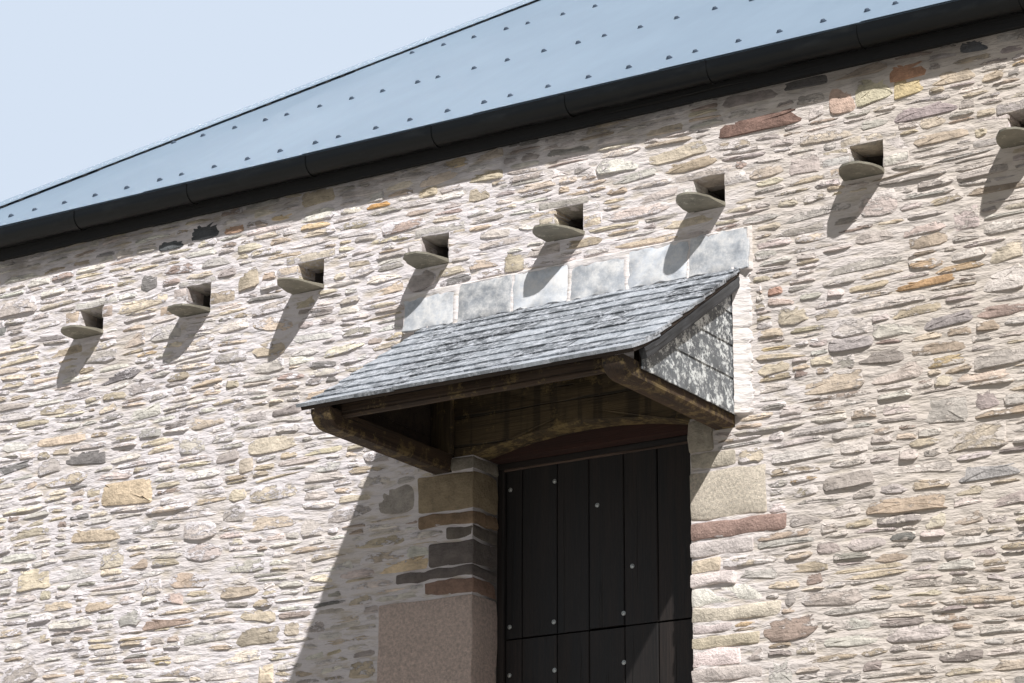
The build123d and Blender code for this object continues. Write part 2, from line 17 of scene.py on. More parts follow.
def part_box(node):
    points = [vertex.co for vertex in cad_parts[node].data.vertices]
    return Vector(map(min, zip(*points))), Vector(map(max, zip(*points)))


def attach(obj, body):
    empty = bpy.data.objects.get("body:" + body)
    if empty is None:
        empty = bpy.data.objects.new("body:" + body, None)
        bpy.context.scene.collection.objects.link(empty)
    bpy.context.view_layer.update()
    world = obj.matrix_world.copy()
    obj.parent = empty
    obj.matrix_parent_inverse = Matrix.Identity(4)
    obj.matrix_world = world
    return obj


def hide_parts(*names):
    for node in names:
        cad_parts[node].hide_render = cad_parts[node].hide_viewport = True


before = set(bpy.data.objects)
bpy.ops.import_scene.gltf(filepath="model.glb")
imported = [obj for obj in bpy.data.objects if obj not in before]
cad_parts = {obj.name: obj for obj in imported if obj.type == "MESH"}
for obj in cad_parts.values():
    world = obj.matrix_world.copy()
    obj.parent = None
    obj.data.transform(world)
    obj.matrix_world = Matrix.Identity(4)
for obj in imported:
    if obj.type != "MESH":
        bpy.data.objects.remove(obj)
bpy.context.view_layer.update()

Array = np.ndarray
Rng = np.random.Generator
Socket = bpy.types.NodeSocket
Tree = bpy.types.NodeTree
Colour = tuple[float, float, float]
Place = Callable[[Array, Array, Array], Array]
Warp = Callable[[Array, Array], Array]
Wiring = Callable[["Bench", Sequence[Socket]], dict[str, Socket]]
Rect = tuple[float, float, float, float]

PLAIN = (1.0, 1.0, 1.0)

log = logging.getLogger("barn")


def paint(red: float, green: float, blue: float) -> Colour:
    """Turn an everyday screen colour into the linear one that shaders use.

    Args:
        red, green, blue: The colour's parts, from 0 to 255.

    Returns:
        The linear colour.
    """
    parts = [value / 255 for value in (red, green, blue)]
    return tuple(p / 12.92 if p <= 0.04045 else ((p + 0.055) / 1.055) ** 2.4 for p in parts)


class Slot(Enum):
    """The material slots."""

    RUBBLE = "rubble_stone"
    GRANITE = "granite"
    SLATE = "slate"
    MORTAR = "lime_mortar"
    SHEET = "roof_sheet"
    GUTTER = "black_gutter"
    BOARDS = "door_boards"
    TIMBER = "old_timber"


# Places that several assemblies share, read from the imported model
WALL_LOW, WALL_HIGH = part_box("front_wall_upper_left")
FRONT_Y = WALL_LOW.y
REAR_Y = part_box("rear_wall_lower")[1].y
CENTRE_Y = (FRONT_Y + REAR_Y) / 2
HALF_DEPTH = (REAR_Y - FRONT_Y) / 2
HALF_LENGTH = -WALL_LOW.x
DOOR_HALF = -WALL_HIGH.x
HEAD_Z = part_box("door_frame")[1].z
WALL_TOP_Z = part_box("front_wall_top")[1].z
BAND_Z = WALL_HIGH.z
HOLE_TOP_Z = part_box("pigeon_hole_piers")[1].z
HOLE_CENTRES = tuple(
    -0.038 + (i - 5) * 0.69 + shift / 1000
    for i, shift in enumerate((0, 38, 8, -22, -22, -12, -7, 33, 33, -12, 6))
)
HOLE_HALF = 0.075
PERCH_SIDES = (-0.11, 0.086)
BRACKET_SIDES = (0.645, 0.745)
FILLET_SIDES = (0.742, 0.845)

# Faces that meet at more than this many degrees keep a sharp edge
SOFT_CREASE, STONE_CREASE, SHEET_CREASE = 38.0, 26.0, 12.0


def wobble(points: Array, seed: int, pitch: float = 0.12) -> Array:
    """Work out a smooth unevenness for points in space.

    Args:
        points: An array of points, one to a row.
        seed: Picks one unevenness from many.
        pitch: The rough distance from one bump to the next.

    Returns:
        An array of the same shape, with values from about -1 to 1.
    """
    rng = np.random.default_rng(seed)
    total = np.zeros((len(points), 3))
    for octave in range(3):
        waves = rng.normal(0, 2.4 * 1.9**octave / pitch, (points.shape[1], 3))
        total += np.sin(points @ waves + rng.uniform(0, math.tau, 3)) / 1.5**octave
    return total / 2


@dataclass
class Heap:
    """Gathers the points and faces of one piece, with their tint, edge mark and grain."""

    points: list[tuple[Array, ...]] = field(default_factory=list)
    faces: list[Array] = field(default_factory=list)
    count: int = 0

    def add(
        self, points: Array, faces: Iterable[Sequence[int] | Array], tint: Colour | Array,
        edge: float | Array = 0.0, grain: Array | None = None,
    ) -> None:
        """Add one closed form.

        Args:
            points: Its points, one to a row.
            faces: Its faces; an array holds many faces of one size, one to a row.
            tint: Its linear colour, or one for each point.
            edge: 1 at an arris and 0 inside a face, or one value for each point.
            grain: Points along, across and through the timber, where it isn't the place itself.
        """
        amount = len(points)
        self.faces += [np.atleast_2d(np.asarray(group, int)) + self.count for group in faces]
        tints = np.broadcast_to(np.asarray(tint, float), (amount, 3))
        edges = np.broadcast_to(np.asarray(edge, float), (amount,))
        self.points.append((points, tints, edges, points if grain is None else grain))
        self.count += amount

    def piece(
        self, name: str, slot: Slot, finish: "Finish", replaces: Sequence[str] = (),
        crease: float = SOFT_CREASE,
    ) -> None:
        """Make the gathered forms into one piece of the barn, which rides on it.

        Args:
            name: The piece's name.
            slot: A material slot; not used.
            finish: Its finish.
            replaces: The CAD nodes that it stands for.
            crease: Faces that meet at more than this many degrees keep a sharp edge.
        """
        mesh = bpy.data.meshes.new(name)
        points, tints, edges, grains = (np.concatenate(part) for part in zip(*self.points))
        corners = np.concatenate([group.ravel() for group in self.faces]).astype(np.int32)
        sizes = np.concatenate([np.full(len(group), group.shape[1]) for group in self.faces])
        mesh.vertices.add(self.count)
        mesh.vertices.foreach_set("co", points.astype(np.float32).ravel())
        mesh.loops.add(len(corners))
        mesh.loops.foreach_set("vertex_index", corners)
        mesh.polygons.add(len(sizes))
        mesh.polygons.foreach_set("loop_start", (np.cumsum(sizes) - sizes).astype(np.int32))
        mesh.polygons.foreach_set("use_smooth", np.ones(len(sizes), bool))
        mesh.update(calc_edges=True)
        tints = np.hstack([tints, np.ones((self.count, 1))])
        mesh.color_attributes.new("tint", "FLOAT_COLOR", "POINT").data.foreach_set("color", tints.ravel())
        mesh.attributes.new("edge", "FLOAT", "POINT").data.foreach_set("value", edges)
        mesh.attributes.new("grain", "FLOAT_VECTOR", "POINT").data.foreach_set("vector", grains.ravel())
        mesh.validate()
        mesh.set_sharp_from_angle(angle=math.radians(crease))
        mesh.materials.append(finish.material())
        piece = bpy.data.objects.new(name, mesh)
        bpy.context.scene.collection.objects.link(piece)
        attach(piece, "root")
        if replaces:
            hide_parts(*replaces)
        triangles = int((sizes - 2).sum())
        log.info("%s: %d triangles, stands for %s", name, triangles, ", ".join(replaces) or "nothing")


# Forms

# The four corners of each cell in a grid of points, going round it
AHEAD, BEHIND = slice(None, -1), slice(1, None)
CELL = ((AHEAD, AHEAD), (AHEAD, BEHIND), (BEHIND, BEHIND), (BEHIND, AHEAD))


def ring_faces(first: int, second: int, amount: int) -> Array:
    """Join two closed rings of points with four-sided faces.

    Args:
        first, second: Where each ring starts in the list of points.
        amount: How many points each ring has.

    Returns:
        One face to a row.
    """
    a = np.arange(amount)
    b = (a + 1) % amount
    return np.column_stack([first + a, first + b, second + b, second + a])


def plate(
    heap: Heap, outline: Array, place: Place, top: float, thickness: float, bevel: float, tint: Colour
) -> None:
    """Add a flat plate with a worn upper edge.

    Args:
        heap: What it is added to.
        outline: Its outline as seen from above, anticlockwise, one point to a row.
        place: Turns (along, up, out) into places in space.
        top: Its upper face's distance out.
        thickness: Its thickness.
        bevel: The width of the worn edge.
        tint: Its linear colour.
    """
    n = len(outline)
    centre = outline.mean(0)
    arm = outline - centre
    inner = centre + arm * (1 - bevel / np.linalg.norm(arm, axis=1, keepdims=True))
    u, v = np.vstack([outline, outline, inner, centre + arm * 0.5, centre, centre]).T
    w = np.append(np.repeat((top - thickness, top - bevel * 0.7, top, top), n), (top, top - thickness))
    a = np.arange(n)
    b = (a + 1) % n
    faces = [ring_faces(k * n, (k + 1) * n, n) for k in range(3)]
    faces.append(np.column_stack([3 * n + a, 3 * n + b, np.full(n, 4 * n)]))
    faces.append(np.column_stack([b, a, np.full(n, 4 * n + 1)]))
    edge = np.append(np.repeat((1.0, 1.0, 0.6, 0.0), n), (0.0, 0.0))
    heap.add(place(u, v, w), faces, tint, edge)


def ragged(outline: Sequence[tuple[float, float]], step: float, amount: float, rng: Rng) -> Array:
    """Break up the sides of an outline.

    Args:
        outline: Its corners in order.
        step: The longest stretch left straight.
        amount: How far a point may move.
        rng: The random source.

    Returns:
        The new outline, one point to a row.
    """
    points = []
    corners = np.asarray(outline, float)
    for a, b in zip(corners, np.roll(corners, -1, axis=0)):
        parts = max(1, int(np.linalg.norm(b - a) / step))
        for i in range(parts):
            points.append(a + (b - a) * i / parts + rng.uniform(-amount, amount, 2))
    return np.array(points)


def clip(outline: Array, point: Sequence[float], normal: Sequence[float]) -> Array:
    """Cut an outline along a line and keep the side away from the normal.

    Args:
        outline: The outline, one point to a row.
        point: A point on the line.
        normal: Points to the side that is cut off.

    Returns:
        The outline that is left, which may be empty.
    """
    kept = []
    away = (outline - np.asarray(point)) @ np.asarray(normal)
    for i, (a, here) in enumerate(zip(outline, away)):
        b, there = outline[(i + 1) % len(outline)], away[(i + 1) % len(outline)]
        if here <= 0:
            kept.append(a)
        if (here < 0 < there) or (there < 0 < here):
            kept.append(a + (b - a) * here / (here - there))
    return np.array(kept)


def slab(heap: Heap, points: Array, shape: tuple[int, int], tint: Colour, edge: float | Array = 0.0) -> None:
    """Add a closed slab between two grids of points.

    Args:
        heap: What it is added to.
        points: The front grid's points and then the back grid's, one to a row.
        shape: Their rows and columns.
        tint: Its linear colour.
        edge: 1 at an arris and 0 inside a face.
    """
    size = shape[0] * shape[1]
    index = np.arange(size).reshape(shape)
    quads = np.column_stack([index[part].ravel() for part in CELL])
    loop = np.concatenate([index[0, :-1], index[:-1, -1], index[-1, :0:-1], index[:0:-1, 0]])
    after = np.roll(loop, -1)
    sides = np.column_stack([loop + size, after + size, after, loop])
    heap.add(points, [quads, quads[:, ::-1] + size, sides], tint, edge)


def tile(
    heap: Heap, rng: Rng, corners: Sequence[Sequence[float]], place: Place, thickness: float,
    cells: tuple[int, int], rough: float, tint: Colour,
) -> None:
    """Add a four-sided slate or board that follows a curved bed.

    Args:
        heap: What it is added to.
        rng: The random source.
        corners: Its four top corners as (along, up, out), anticlockwise from the lower left.
        place: Turns (along, up, out) into places in space.
        thickness: Its thickness.
        cells: Its divisions along and up.
        rough: How far its edges may stray.
        tint: Its linear colour.
    """
    columns, rows = cells[0] + 1, cells[1] + 1
    s, t = (part.ravel() for part in np.meshgrid(np.linspace(0, 1, columns), np.linspace(0, 1, rows)))
    shares = ((1 - s) * (1 - t), s * (1 - t), s * t, (1 - s) * t)
    top = sum(np.asarray(corner, float) * share[:, None] for corner, share in zip(corners, shares))
    rim = (s == 0) | (s == 1) | (t == 0) | (t == 1)
    top[:, :2] += rng.uniform(-rough, rough, (len(top), 2)) * rim[:, None]
    under = top.copy()
    under[:, 2] -= thickness
    under[:, :2] -= rng.uniform(0, rough, (len(top), 1)) * rim[:, None] * 0.5
    slab(heap, place(*np.vstack([top, under]).T), (rows, columns), tint, np.tile(rim * 1.0, 2))


def tube(
    heap: Heap, rings: Sequence[Array], tint: Colour, edge: float | Array = 0.0,
    grain: Array | None = None, turned: bool = False,
) -> None:
    """Join rings of points into a closed form, with a face over each end.

    Args:
        heap: What it is added to.
        rings: The rings' points, one to a row.
        tint: Its linear colour.
        edge: 1 at an arris and 0 inside a face.
        grain: Points along, across and through the timber.
        turned: Whether the rings run clockwise.
    """
    n, m = len(rings), len(rings[0])
    faces = [ring_faces(i * m, i * m + m, m) for i in range(n - 1)]
    faces += [np.arange(m)[::-1], np.arange(m) + (n - 1) * m]
    if turned:
        faces = [group[..., ::-1] for group in faces]
    heap.add(np.vstack(rings), faces, tint, edge, grain)


def section(width: float, height: float, foot: float, head: float) -> Array:
    """Give a timber's eight corners, from its half width, half height, lower and upper chamfers."""
    return np.array([
        (-width + foot, -height), (width - foot, -height), (width, -height + foot), (width, height - head),
        (width - head, height), (-width + head, height), (-width, height - head), (-width, -height + foot),
    ])


def timber(
    heap: Heap, rng: Rng, centres: Array, across: Sequence[float], size: tuple[float, float],
    tint: Colour = PLAIN, chamfer: float = 0.004, worn: float = 0.001,
) -> None:
    """Add a chamfered timber along a path.

    Args:
        heap: What it is added to.
        rng: The random source.
        centres: The path's points, one to a row.
        across: The direction of its width.
        size: Its width and height.
        tint: Its linear colour.
        chamfer: The size of its chamfers.
        worn: How uneven its faces are.
    """
    across = np.asarray(across, float)
    run = np.gradient(centres, axis=0)
    run /= np.linalg.norm(run, axis=1, keepdims=True)
    up = np.cross(across, run)
    along = np.append(0, np.cumsum(np.linalg.norm(np.diff(centres, axis=0), axis=1)))
    width, height = size[0] / 2, size[1] / 2
    chamfer = min(chamfer, width * 0.8, height * 0.8)
    square = section(width, height, chamfer, chamfer)
    shift = rng.uniform(0, 40, 3)
    rings, grain = [], []
    for centre, lift, distance in zip(centres, up, along):
        corners = square + rng.uniform(-worn, worn, square.shape)
        rings.append(centre + corners[:, :1] * across + corners[:, 1:] * lift)
        grain.append(np.column_stack([np.full(8, distance), corners]) + shift)
    tube(heap, rings, tint, np.tile((0.7,) * 4 + (0.3,) * 4, len(rings)), np.vstack(grain))


def straight_timber(
    heap: Heap, rng: Rng, start: Sequence[float], end: Sequence[float], across: Sequence[float],
    size: tuple[float, float], **shape: object,
) -> None:
    """Add a straight timber between two points on its middle line.

    Args:
        heap: What it is added to.
        rng: The random source.
        start, end: The two points.
        across: The direction of its width.
        size: Its width and height.
        shape: Its tint, chamfer and wear, as for any timber.
    """
    a, b = np.asarray(start, float), np.asarray(end, float)
    steps = max(2, int(np.linalg.norm(b - a) / 0.15) + 1)
    timber(heap, rng, a + (b - a) * np.linspace(0, 1, steps)[:, None], across, size, **shape)


def rough_block(
    heap: Heap, corner: Sequence[float], opposite: Sequence[float], tint: Colour, seed: int,
    bevel: float, rough: float, step: float,
) -> None:
    """Add a squared stone with rounded arrises and uneven faces.

    Args:
        heap: What it is added to.
        corner, opposite: Two opposite corners, the lower one first.
        tint: Its linear colour.
        seed: Picks its unevenness.
        bevel: How far its arrises are rounded.
        rough: How uneven its faces are.
        step: The rough size of its facets.
    """
    low, high = np.array(corner, float), np.array(opposite, float)
    low[:2], high[:2] = np.minimum(low[:2], high[:2]), np.maximum(low[:2], high[:2])
    bevel = min(bevel, float((high - low).min()) * 0.4)
    lines = []
    for a, b in zip(low, high):
        lines.append(np.array([a, *np.linspace(a + bevel, b - bevel, max(2, int((b - a) / step) + 1)), b]))
    points, faces = [], []
    for axis in range(3):
        first, second = (axis + 1) % 3, (axis + 2) % 3
        u, v = np.meshgrid(lines[first], lines[second])
        index = np.arange(u.size).reshape(u.shape)
        quads = np.column_stack([index[part].ravel() for part in CELL])
        for level, face in ((low[axis], quads[:, ::-1]), (high[axis], quads)):
            grid = np.zeros((u.size, 3))
            grid[:, axis], grid[:, first], grid[:, second] = level, u.ravel(), v.ravel()
            faces.append(face + sum(map(len, points)))
            points.append(grid)
    unique, back = np.unique(np.round(np.vstack(points), 6), axis=0, return_inverse=True)
    core = np.clip(unique, low + bevel, high - bevel)
    out = unique - core
    moved = core + out / np.maximum(np.linalg.norm(out, axis=1, keepdims=True), 1e-9) * bevel
    moved += wobble(moved, seed, 0.16) * rough + wobble(moved, seed + 1, 0.05) * rough * 0.35
    moved[:, 2] = np.maximum(moved[:, 2], 0.0005)
    arris = (np.abs(out) > 1e-6).sum(1) >= 2
    heap.add(moved, [back.ravel()[group] for group in faces], tint, np.where(arris, 0.8, 0.1))


# Shader trees


@dataclass(frozen=True)
class Bench:
    """Places and joins the nodes of one shader tree."""

    tree: Tree

    def feed(self, socket: Socket, value: object) -> None:
        """Join a socket to another one, or set it to a plain value."""
        if isinstance(value, Socket):
            self.tree.links.new(value, socket)
        elif socket.type == "RGBA" and len(value) == 3:
            socket.default_value = (*value, 1.0)
        else:
            socket.default_value = value

    def put(
        self, kind: str, settings: dict[str, object] | None = None, *ordered: object, **named: object
    ) -> bpy.types.Node:
        """Place a node.

        Args:
            kind: Its type, without the leading ShaderNode.
            settings: Its own settings.
            ordered: What feeds its first inputs, in their order.
            named: What feeds its inputs by name.

        Returns:
            The node.
        """
        node = self.tree.nodes.new("ShaderNode" + kind)
        for key, value in (settings or {}).items():
            setattr(node, key, value)
        for key, value in (*enumerate(ordered), *named.items()):
            self.feed(node.inputs[key], value)
        return node

    def sum(self, operation: str, first: object, second: object = 0.5) -> Socket:
        """Work out one number from two."""
        return self.put("Math", {"operation": operation}, first, second).outputs[0]

    def times(self, first: object, second: object) -> Socket:
        """Multiply two numbers."""
        return self.sum("MULTIPLY", first, second)

    def plus(self, first: object, second: object) -> Socket:
        """Add two numbers."""
        return self.sum("ADD", first, second)

    def less(self, first: object, second: object) -> Socket:
        """Take the second number from the first."""
        return self.sum("SUBTRACT", first, second)

    def sway(self, cloud: object, amount: object) -> Socket:
        """Turn a cloud's 0 to 1 into an amount to either side of 0."""
        return self.times(self.less(cloud, 0.5), amount)

    def mix(self, factor: object, first: object, second: object, blend: str = "MIX") -> Socket:
        """Mix two colours."""
        node = self.put("Mix", {"data_type": "RGBA", "blend_type": blend}, factor)
        self.feed(node.inputs[6], first)
        self.feed(node.inputs[7], second)
        return node.outputs[2]

    def step(self, value: object, low: object, high: object) -> Socket:
        """Rise smoothly from 0 to 1 as a value goes from low to high."""
        return self.put("MapRange", {"interpolation_type": "SMOOTHSTEP"}, value, low, high).outputs[0]

    def stretch(self, vector: object, scale: tuple[float, float, float]) -> Socket:
        """Scale a vector along each axis."""
        return self.put("VectorMath", {"operation": "MULTIPLY"}, vector, scale).outputs[0]

    def noise(self, vector: object, scale: object, detail: float = 4.0, rough: float = 0.55) -> Socket:
        """Give a cloudy value between 0 and 1."""
        return self.put("TexNoise", Vector=vector, Scale=scale, Detail=detail, Roughness=rough).outputs[0]

    def place(self) -> Socket:
        """Give the place on the object."""
        return self.put("TexCoord").outputs["Object"]

    def split(self, vector: object) -> Sequence[Socket]:
        """Give a vector's three parts."""
        return self.put("SeparateXYZ", Vector=vector).outputs

    def mark(self, name: str, output: str = "Fac") -> Socket:
        """Read one of the marks that a piece's points carry."""
        return self.put("Attribute", {"attribute_name": name}).outputs[output]

    def direct(self) -> Socket:
        """Give 1 where a surface is seen by the camera, in a gloss or through glass."""
        ray = self.put("LightPath").outputs
        through = self.sum("MAXIMUM", ray["Is Glossy Ray"], ray["Is Transmission Ray"])
        return self.sum("MAXIMUM", ray["Is Camera Ray"], through)

    def group(self, tree: Tree, **inputs: object) -> Sequence[Socket]:
        """Place a shared group, and give its outputs."""
        return self.put("Group", {"node_tree": tree}, **inputs).outputs


def shared_group(name: str, inputs: dict[str, str], outputs: dict[str, str], wire: Wiring) -> Tree:
    """Build a shader group once, and give the same one after that.

    Args:
        name: The group's name.
        inputs: The kind of socket of each input.
        outputs: The kind of socket of each output.
        wire: Places its nodes, and returns what feeds each output.

    Returns:
        The group.
    """
    if name in bpy.data.node_groups:
        return bpy.data.node_groups[name]
    tree = bpy.data.node_groups.new(name, "ShaderNodeTree")
    for way, sockets in (("INPUT", inputs), ("OUTPUT", outputs)):
        for label, kind in sockets.items():
            tree.interface.new_socket(label, in_out=way, socket_type="NodeSocket" + kind)
    inside = tree.nodes.new("NodeGroupInput")
    outside = tree.nodes.new("NodeGroupOutput")
    for label, socket in wire(Bench(tree), inside.outputs).items():
        tree.links.new(socket, outside.inputs[label])
    return tree


def mineral_group() -> Tree:
    """Give the group that speckles and beds a stone's colour."""

    def wire(bench: Bench, given: Sequence[Socket]) -> dict[str, Socket]:
        """Wire the clouds, specks and bedding lines."""
        place = given["Vector"]
        cloud = bench.noise(place, bench.times(given["Scale"], 0.22), 3.0)
        speck = bench.noise(place, given["Scale"], 4.0, 0.7)
        lines = bench.noise(bench.stretch(place, (7.0, 7.0, 62.0)), 1.0, 5.0, 0.72)
        height = bench.plus(bench.sway(lines, given["Bedding"]), bench.sway(speck, given["Speckle"]))
        height = bench.plus(height, bench.sway(cloud, 1.1))
        grey = bench.put("CombineColor", None, *[bench.plus(height, 1.0)] * 3).outputs[0]
        return {"Colour": bench.mix(1.0, given["Base"], grey, "MULTIPLY"), "Height": bench.times(height, 0.5)}

    inputs = {"Vector": "Vector", "Base": "Color", "Scale": "Float", "Speckle": "Float", "Bedding": "Float"}
    return shared_group("mineral", inputs, {"Colour": "Color", "Height": "Float"}, wire)


def lichen_group() -> Tree:
    """Give the group that grows pale lichen on stone, slate and old timber."""

    def wire(bench: Bench, given: Sequence[Socket]) -> dict[str, Socket]:
        """Wire the blooms, broken up by two sizes of cloud."""
        place, soft = given["Vector"], given["Soft"]
        spread = bench.noise(place, bench.times(given["Scale"], 0.3), 3.0)
        rise = bench.plus(bench.times(spread, 0.6), bench.noise(place, given["Scale"], 6.0, 0.78))
        bare = bench.less(0.96, bench.times(given["Cover"], 0.30))
        bare = bench.less(bare, bench.times(soft, 0.4))
        mask = bench.times(bench.step(rise, bare, bench.plus(bare, soft)), 0.9)
        return {"Colour": bench.mix(mask, given["Base"], given["Bloom"]), "Mask": mask}

    inputs = {"Vector": "Vector", "Base": "Color", "Bloom": "Color"}
    inputs |= dict.fromkeys(("Scale", "Cover", "Soft"), "Float")
    return shared_group("lichen", inputs, {"Colour": "Color", "Mask": "Float"}, wire)


def grain_group() -> Tree:
    """Give the group that draws the grain and shakes of timber along the first axis."""

    def wire(bench: Bench, given: Sequence[Socket]) -> dict[str, Socket]:
        """Wire the broad figure, the fine fibres and the shakes."""
        figure, fibre, shake = (
            bench.noise(bench.stretch(given["Vector"], (along, across, across)), 1.0, detail, rough)
            for along, across, detail, rough in (
                (1.3, 16.0, 3.0, 0.55), (5.0, 190.0, 4.0, 0.65), (1.1, 46.0, 2.0, 0.55)
            )
        )
        split = bench.step(shake, 0.66, 0.72)
        tone = bench.plus(bench.times(figure, 0.6), bench.times(fibre, 0.5))
        colour = bench.mix(bench.step(tone, 0.36, 0.74), given["Dark"], given["Light"])
        colour = bench.mix(bench.times(split, 0.75), colour, (0.012, 0.010, 0.008))
        return {"Colour": colour, "Height": bench.less(tone, bench.times(split, 1.2))}

    inputs = {"Vector": "Vector", "Dark": "Color", "Light": "Color"}
    return shared_group("grain", inputs, {"Colour": "Color", "Height": "Float"}, wire)


@dataclass(frozen=True)
class Coat:
    """What a finish gives to its shader: colour, roughness, height and the height's depth."""

    colour: object
    roughness: object
    height: object
    depth: float
    sheen: float = 0.5
    metallic: float = 0.0


@dataclass(frozen=True)
class Finish:
    """A finish; each kind wires its own colour, roughness and height."""

    name: str

    def coat(self, bench: Bench) -> Coat:
        """Wire the finish's own nodes."""
        raise NotImplementedError

    def material(self) -> bpy.types.Material:
        """Build the material once, and give the same one after that."""
        if self.name in bpy.data.materials:
            return bpy.data.materials[self.name]
        material = bpy.data.materials.new(self.name)
        material.use_nodes = True
        bench = Bench(material.node_tree)
        coat = self.coat(bench)
        shader = material.node_tree.nodes["Principled BSDF"]
        bench.feed(shader.inputs["Base Color"], coat.colour)
        bench.feed(shader.inputs["Roughness"], coat.roughness)
        shader.inputs["Specular IOR Level"].default_value = coat.sheen
        shader.inputs["Metallic"].default_value = coat.metallic
        bump = bench.put("Bump", Height=coat.height, Distance=coat.depth, Strength=1.0).outputs[0]
        bench.feed(shader.inputs["Normal"], bump)
        return material


LIME = paint(227, 220, 221)
WARM_LIME = paint(212, 201, 191)
# Painted shade: the colour that darkens the top of the walls under the eaves
EAVE_SHADE_PAINT = paint(74, 67, 60)


def lime_group() -> Tree:
    """Give the group that turns lime from white at the left to buff at the right, and paints shade along the
    top of the walls under the eaves.
    """

    def wire(bench: Bench, given: Sequence[Socket]) -> dict[str, Socket]:
        """Wire the turn from one tone to the other in broad patches, and the painted shade of the eaves with
        a ragged lower edge.
        """
        across, _, height = bench.split(given["Vector"])
        patch = bench.sway(bench.noise(given["Vector"], 0.7, 3.0), 4.0)
        turn = bench.step(bench.plus(across, patch), -0.8, 1.8)
        # Painted shade along the top of the walls under the eaves, ragged at its lower edge
        ragged_shade_edge = bench.sway(bench.noise(given["Vector"], 6.0, 3.0), 0.2)
        eave_shade = bench.step(bench.plus(height, ragged_shade_edge), WALL_TOP_Z - 0.12, WALL_TOP_Z - 0.01)
        return {"Colour": bench.mix(turn, given["White"], given["Buff"]), "Grime": eave_shade}

    inputs = {"Vector": "Vector", "White": "Color", "Buff": "Color"}
    return shared_group("lime", inputs, {"Colour": "Color", "Grime": "Float"}, wire)


@dataclass(frozen=True)
class LimeMortar(Finish):
    """Creamy lime mortar in lumps along the beds, sandy, darker where it stays damp, with painted shade deep
    inside the walls and under the eaves.
    """

    colour: Colour = LIME
    damp: Colour = paint(204, 193, 181)
    lumps: float = 8.8
    inside: float = 0.03
    depth: float = 0.022
    buff: Colour = WARM_LIME

    def coat(self, bench: Bench) -> Coat:
        """Wire broad stains, lumps and sand, paint shade on what lies deep inside the front wall, and paint
        the shade under the eaves.
        """
        place = bench.place()
        stain = bench.noise(place, 1.7, 4.0)
        lump = bench.noise(bench.stretch(place, (1.0, 1.0, 3.6)), self.lumps, 5.0, 0.55)
        sand = bench.noise(place, 300.0, 2.0, 0.7)
        lime = bench.group(lime_group(), Vector=place, White=self.colour, Buff=self.buff)
        colour = bench.mix(bench.step(stain, 0.45, 0.85), lime["Colour"], self.damp)
        colour = bench.mix(bench.step(lump, 0.52, 0.30), colour, self.damp)
        colour = bench.mix(bench.times(bench.step(sand, 0.55, 0.75), 0.25), colour, self.damp)
        x, y, _ = bench.split(place)
        # Painted shade: what lies deep inside the walls, in the far parts of holes and reveals and on the
        # inner faces, is darkened to a dark brown
        from_end = bench.less(HALF_LENGTH, bench.sum("ABSOLUTE", x))
        from_front = bench.less(HALF_DEPTH, bench.sum("ABSOLUTE", bench.less(y, CENTRE_Y)))
        deep = bench.step(bench.sum("MINIMUM", from_end, from_front), self.inside, self.inside + 0.12)
        colour = bench.mix(bench.times(deep, 0.8), colour, paint(60, 54, 48))
        # Painted shade under the eaves over the top of the wall
        colour = bench.mix(bench.times(lime["Grime"], 0.6), colour, EAVE_SHADE_PAINT)
        height = bench.plus(lump, bench.times(sand, 0.05))
        return Coat(colour, roughness=0.93, height=height, depth=self.depth, sheen=0.2)


@dataclass(frozen=True)
class WallStone(Finish):
    """Bedded rubble in the tint of each stone, with mortar smeared over its edges and painted shade under the
    eaves.
    """

    smear: float = 0.13
    speckle: float = 0.6
    bedding: float = 0.5
    scale: float = 50.0
    depth: float = 0.024

    def coat(self, bench: Bench) -> Coat:
        """Wire the bedded colour, the smear of mortar and the painted shade under the eaves."""
        place = bench.place()
        stone = bench.group(
            mineral_group(), Vector=place, Base=bench.mark("tint", "Color"), Scale=self.scale,
            Speckle=self.speckle, Bedding=self.bedding,
        )
        ragged_edge = bench.noise(bench.stretch(place, (1.0, 1.0, 2.4)), 13.0, 6.0, 0.72)
        smear = bench.plus(bench.times(bench.mark("edge"), 0.5), bench.sway(ragged_edge, 2.4))
        mask = bench.step(smear, self.smear, self.smear + 0.14)
        lime = bench.group(lime_group(), Vector=place, White=LIME, Buff=WARM_LIME)
        colour = bench.mix(mask, stone["Colour"], lime["Colour"])
        # Painted shade under the eaves over the top of the wall
        colour = bench.mix(bench.times(lime["Grime"], 0.6), colour, EAVE_SHADE_PAINT)
        height = bench.plus(stone["Height"], bench.times(mask, 0.14))
        return Coat(colour, roughness=0.88, height=height, depth=self.depth, sheen=0.25)


@dataclass(frozen=True)
class Slate(Finish):
    """Weathered slate in the tint of each piece, with pale lichen blooms."""

    bloom: Colour
    cover: float
    scale: float
    soft: float

    def coat(self, bench: Bench) -> Coat:
        """Wire cloven colour, then lichen."""
        place = bench.place()
        tint = bench.mark("tint", "Color")
        stone = bench.group(mineral_group(), Vector=place, Base=tint, Scale=60.0, Speckle=0.5, Bedding=0.25)
        grown = bench.group(
            lichen_group(), Vector=place, Base=stone["Colour"], Bloom=self.bloom, Scale=self.scale,
            Cover=self.cover, Soft=self.soft,
        )
        height = bench.plus(stone["Height"], bench.times(grown["Mask"], 0.15))
        return Coat(grown["Colour"], roughness=0.62, height=height, depth=0.004, sheen=0.45)


